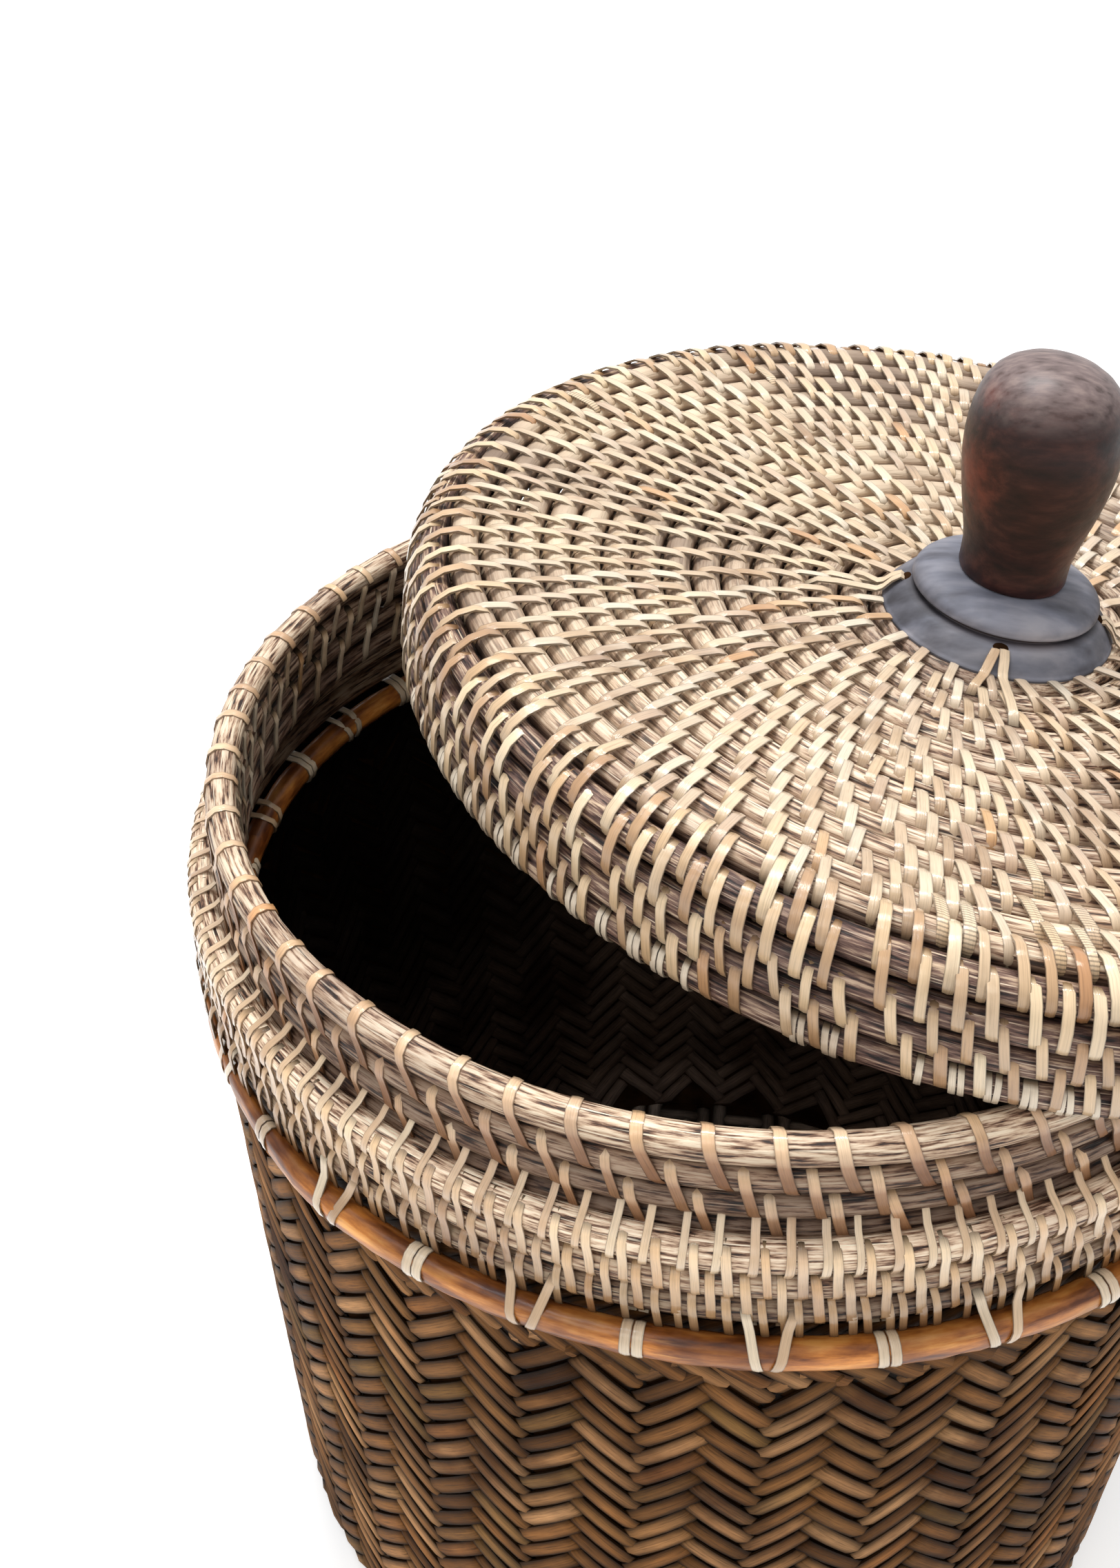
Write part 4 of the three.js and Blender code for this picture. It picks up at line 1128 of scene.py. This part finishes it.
# the top is worn grey and pinkish by hands, with fine cracks
topLevel = (lidMatrix @ knobAt @ Vector((0, 0, knobLook["rise"] * mm))).z
height = addRange(tree, addNode(tree, "SeparateXYZ", {0: where})[2], topLevel - 0.0135, topLevel - 0.003)
wear = addNoise(tree, addMapping(tree, where, {"Rotation": (0.0, 0.35, -0.5), "Scale": (0.35, 1.1, 1.0)}), 420, 6)
share = addMath(tree, "MULTIPLY", height, addRamp(tree, wear, [(0.3, 0.85), (0.5, 0.97)]))
worn = addRamp(tree, wear, tonesOf((0.34, 88, 74, 72), (0.42, 108, 93, 91), (0.53, 120, 104, 102),
                                   (0.66, 138, 121, 116)))
paint(darkWood, {"Base Color": addMix(tree, "MIX", colour, worn, share), "Specular IOR Level": 0.32,
                 "Roughness": addRamp(tree, wear, [(0.3, 0.34), (0.7, 0.46)]),
                 "Normal": addBump(tree, grain, 0.25, 0.0005)})
finishPiece(knob, darkWood, "lid", "knob_wood", "knob")

# A tie's leg: from the hole in the knob's base down over its bevel and out over the plate.
tieStrip = modelStrip("knobTie", {
    "width": 2.9, "thickness": 0.6, "crown": 0.18,
    "path": [(27.6, 4.4), (28.1, 6.6), (29.4, 7.2), (31.6, 5.6), (33.6, 2.9), (35.2, 1.9), (38.0, 2.0), (41.0, 2.1),
             (44.0, 1.6), (46.0, -0.6)]})
# the tie's end at the hole is painted dark: painted shade
tieStraw = stripMaterial("tieStraw", {
    **strawLook, "paintedLightAlong": [(0.0, 0.05), (0.05, 0.9), (0.5, 1.0), (0.85, 0.9), (1.0, 0.3)], "grainAlong": 4.0})
tieLook = {"from": 27.6, "plateFrom": 36, "legs": ((-1, 0.86, -0.34), (1, 1.5, 0.18)), "hole": (1.5, 2.4, 0.5)}
for i in range(4):
    heading = (-95 + 90 * i) * degree
    points = []
    for hand, reach, lean in tieLook["legs"]:
        u, v, w = tieStrip["points"].T
        start, plate = tieLook["from"], tieLook["plateFrom"]
        along = start + (v - start) * np.where(v > plate, 1 + (reach - 1) * np.clip((v - plate) / 6, 0, 1), 1.0)
        across = u * (1 - 0.25 * np.clip((30 - v) / 2.4, 0, 1)) + hand * 0.9 + lean * np.maximum(along - 28.5, 0)
        x = along * math.cos(heading) - across * math.sin(heading)
        y = along * math.sin(heading) + across * math.cos(heading)
        z = w + baseUnder + np.interp(along, [0, plate, 60], [0, 0, 1.3]) + 0.3 * (hand > 0)
        points.append(np.stack([x, y, z], -1))
    sewPiece(f"knobTieStrip{i + 1}", tieStrip, points, tieStraw, f"knob_tie_{i + 1}",
             tones=[0.42 + 0.02 * i, 0.5], body="lid")
    # a dark patch of painted shade stands for the hole that the tie comes out of
    chooseNothing()
    bpy.ops.mesh.primitive_uv_sphere_add(segments=20, ring_count=10, radius=0.001, location=(0, 0, 0))
    hole = bpy.context.object
    hole.name = f"knobTieHoleShade{i + 1}"
    bpy.ops.transform.resize(value=tieLook["hole"])
    bpy.ops.object.transform_apply(location=True, rotation=True, scale=True)
    hole.data.transform(lidMatrix @ Matrix.Rotation(heading, 4, "Z")
                        @ Matrix.Translation((0.0275, 0, (baseUnder + 7.0) * mm)) @ Matrix.Rotation(0.35, 4, "Y"))
    bpy.ops.object.shade_smooth()
    finishPiece(hole, shadeCore, "lid", "knob_base_wood")
print("knob set")

# a floor that looks white and lights the object no more than a grey one
chooseNothing()
bpy.ops.mesh.primitive_plane_add(size=14, location=(0, 2, -0.0002))
floor = bpy.context.object
floor.name = "studioFloor"
bpy.ops.object.transform_apply(location=True, rotation=True, scale=True)
floorPaint, tree = newMaterial("paleFloor")
rays = addNode(tree, "LightPath")
seen = addMath(tree, "MAXIMUM", rays["Is Camera Ray"], rays["Is Glossy Ray"])
seen = addMath(tree, "MAXIMUM", seen, rays["Is Transmission Ray"])
floor.data.materials.append(paint(floorPaint, {
    "Base Color": (0.86, 0.86, 0.86, 1), "Roughness": 0.9, "Specular IOR Level": 0.1,
    "Emission Color": (1, 1, 1, 1), "Emission Strength": addMath(tree, "MULTIPLY", seen, 0.42)}))

world = bpy.data.worlds.new("paleRoom")
bpy.context.scene.world = world
world.use_nodes = True
tree = world.node_tree
rays = addNode(tree, "LightPath")
seen = addMath(tree, "MAXIMUM", rays["Is Camera Ray"], rays["Is Transmission Ray"])
feed(tree, tree.nodes["Background"], {
    "Color": (1, 1, 1, 1), "Strength": addRange(tree, seen, 0.0, 1.0, toMin=0.76)})

for name, at, aim, size, power, colour in (
        ("overheadLampLeft", (-0.3, 0.42, 1.75), (0.05, 0.0, 0.3), 0.34, 9.0, (1.0, 0.99, 0.97)),
        ("overheadLampRight", (0.12, 0.5, 1.75), (0.05, 0.0, 0.3), 0.34, 9.0, (1.0, 0.99, 0.97)),
        ("frontLamp", (-0.5, -1.2, 1.6), (0.0, 0.0, 0.2), 0.8, 5, (1.0, 0.96, 0.9)),
        ("coolLamp", (-0.42, -0.08, 1.75), (0.05, 0.0, 0.3), 0.3, 3.0, (0.82, 0.9, 1.0))):
    chooseNothing()
    bpy.ops.object.light_add(type="AREA", location=at)
    lamp = bpy.context.object
    lamp.name = name
    lamp.data.shape = "DISK"
    lamp.data.size = size
    lamp.data.energy = power
    lamp.data.color = colour
    lamp.rotation_euler = (Vector(aim) - Vector(at)).to_track_quat("-Z", "Y").to_euler()

# the camera as fitted to the photograph
bpy.ops.object.camera_add(location=(0, -0.409135, 0.599182))
camera = bpy.context.object
camera.name = "photoCamera"
camera.rotation_euler = (math.pi / 2 - 0.65925, 0, 0.13346)
camera.data.sensor_fit = "VERTICAL"
camera.data.sensor_height = 36
camera.data.lens = 40.366
camera.data.clip_start = 0.01
bpy.context.scene.camera = camera
bpy.context.scene.view_settings.view_transform = "Standard"

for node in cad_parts.values():
    node.select_set(False)
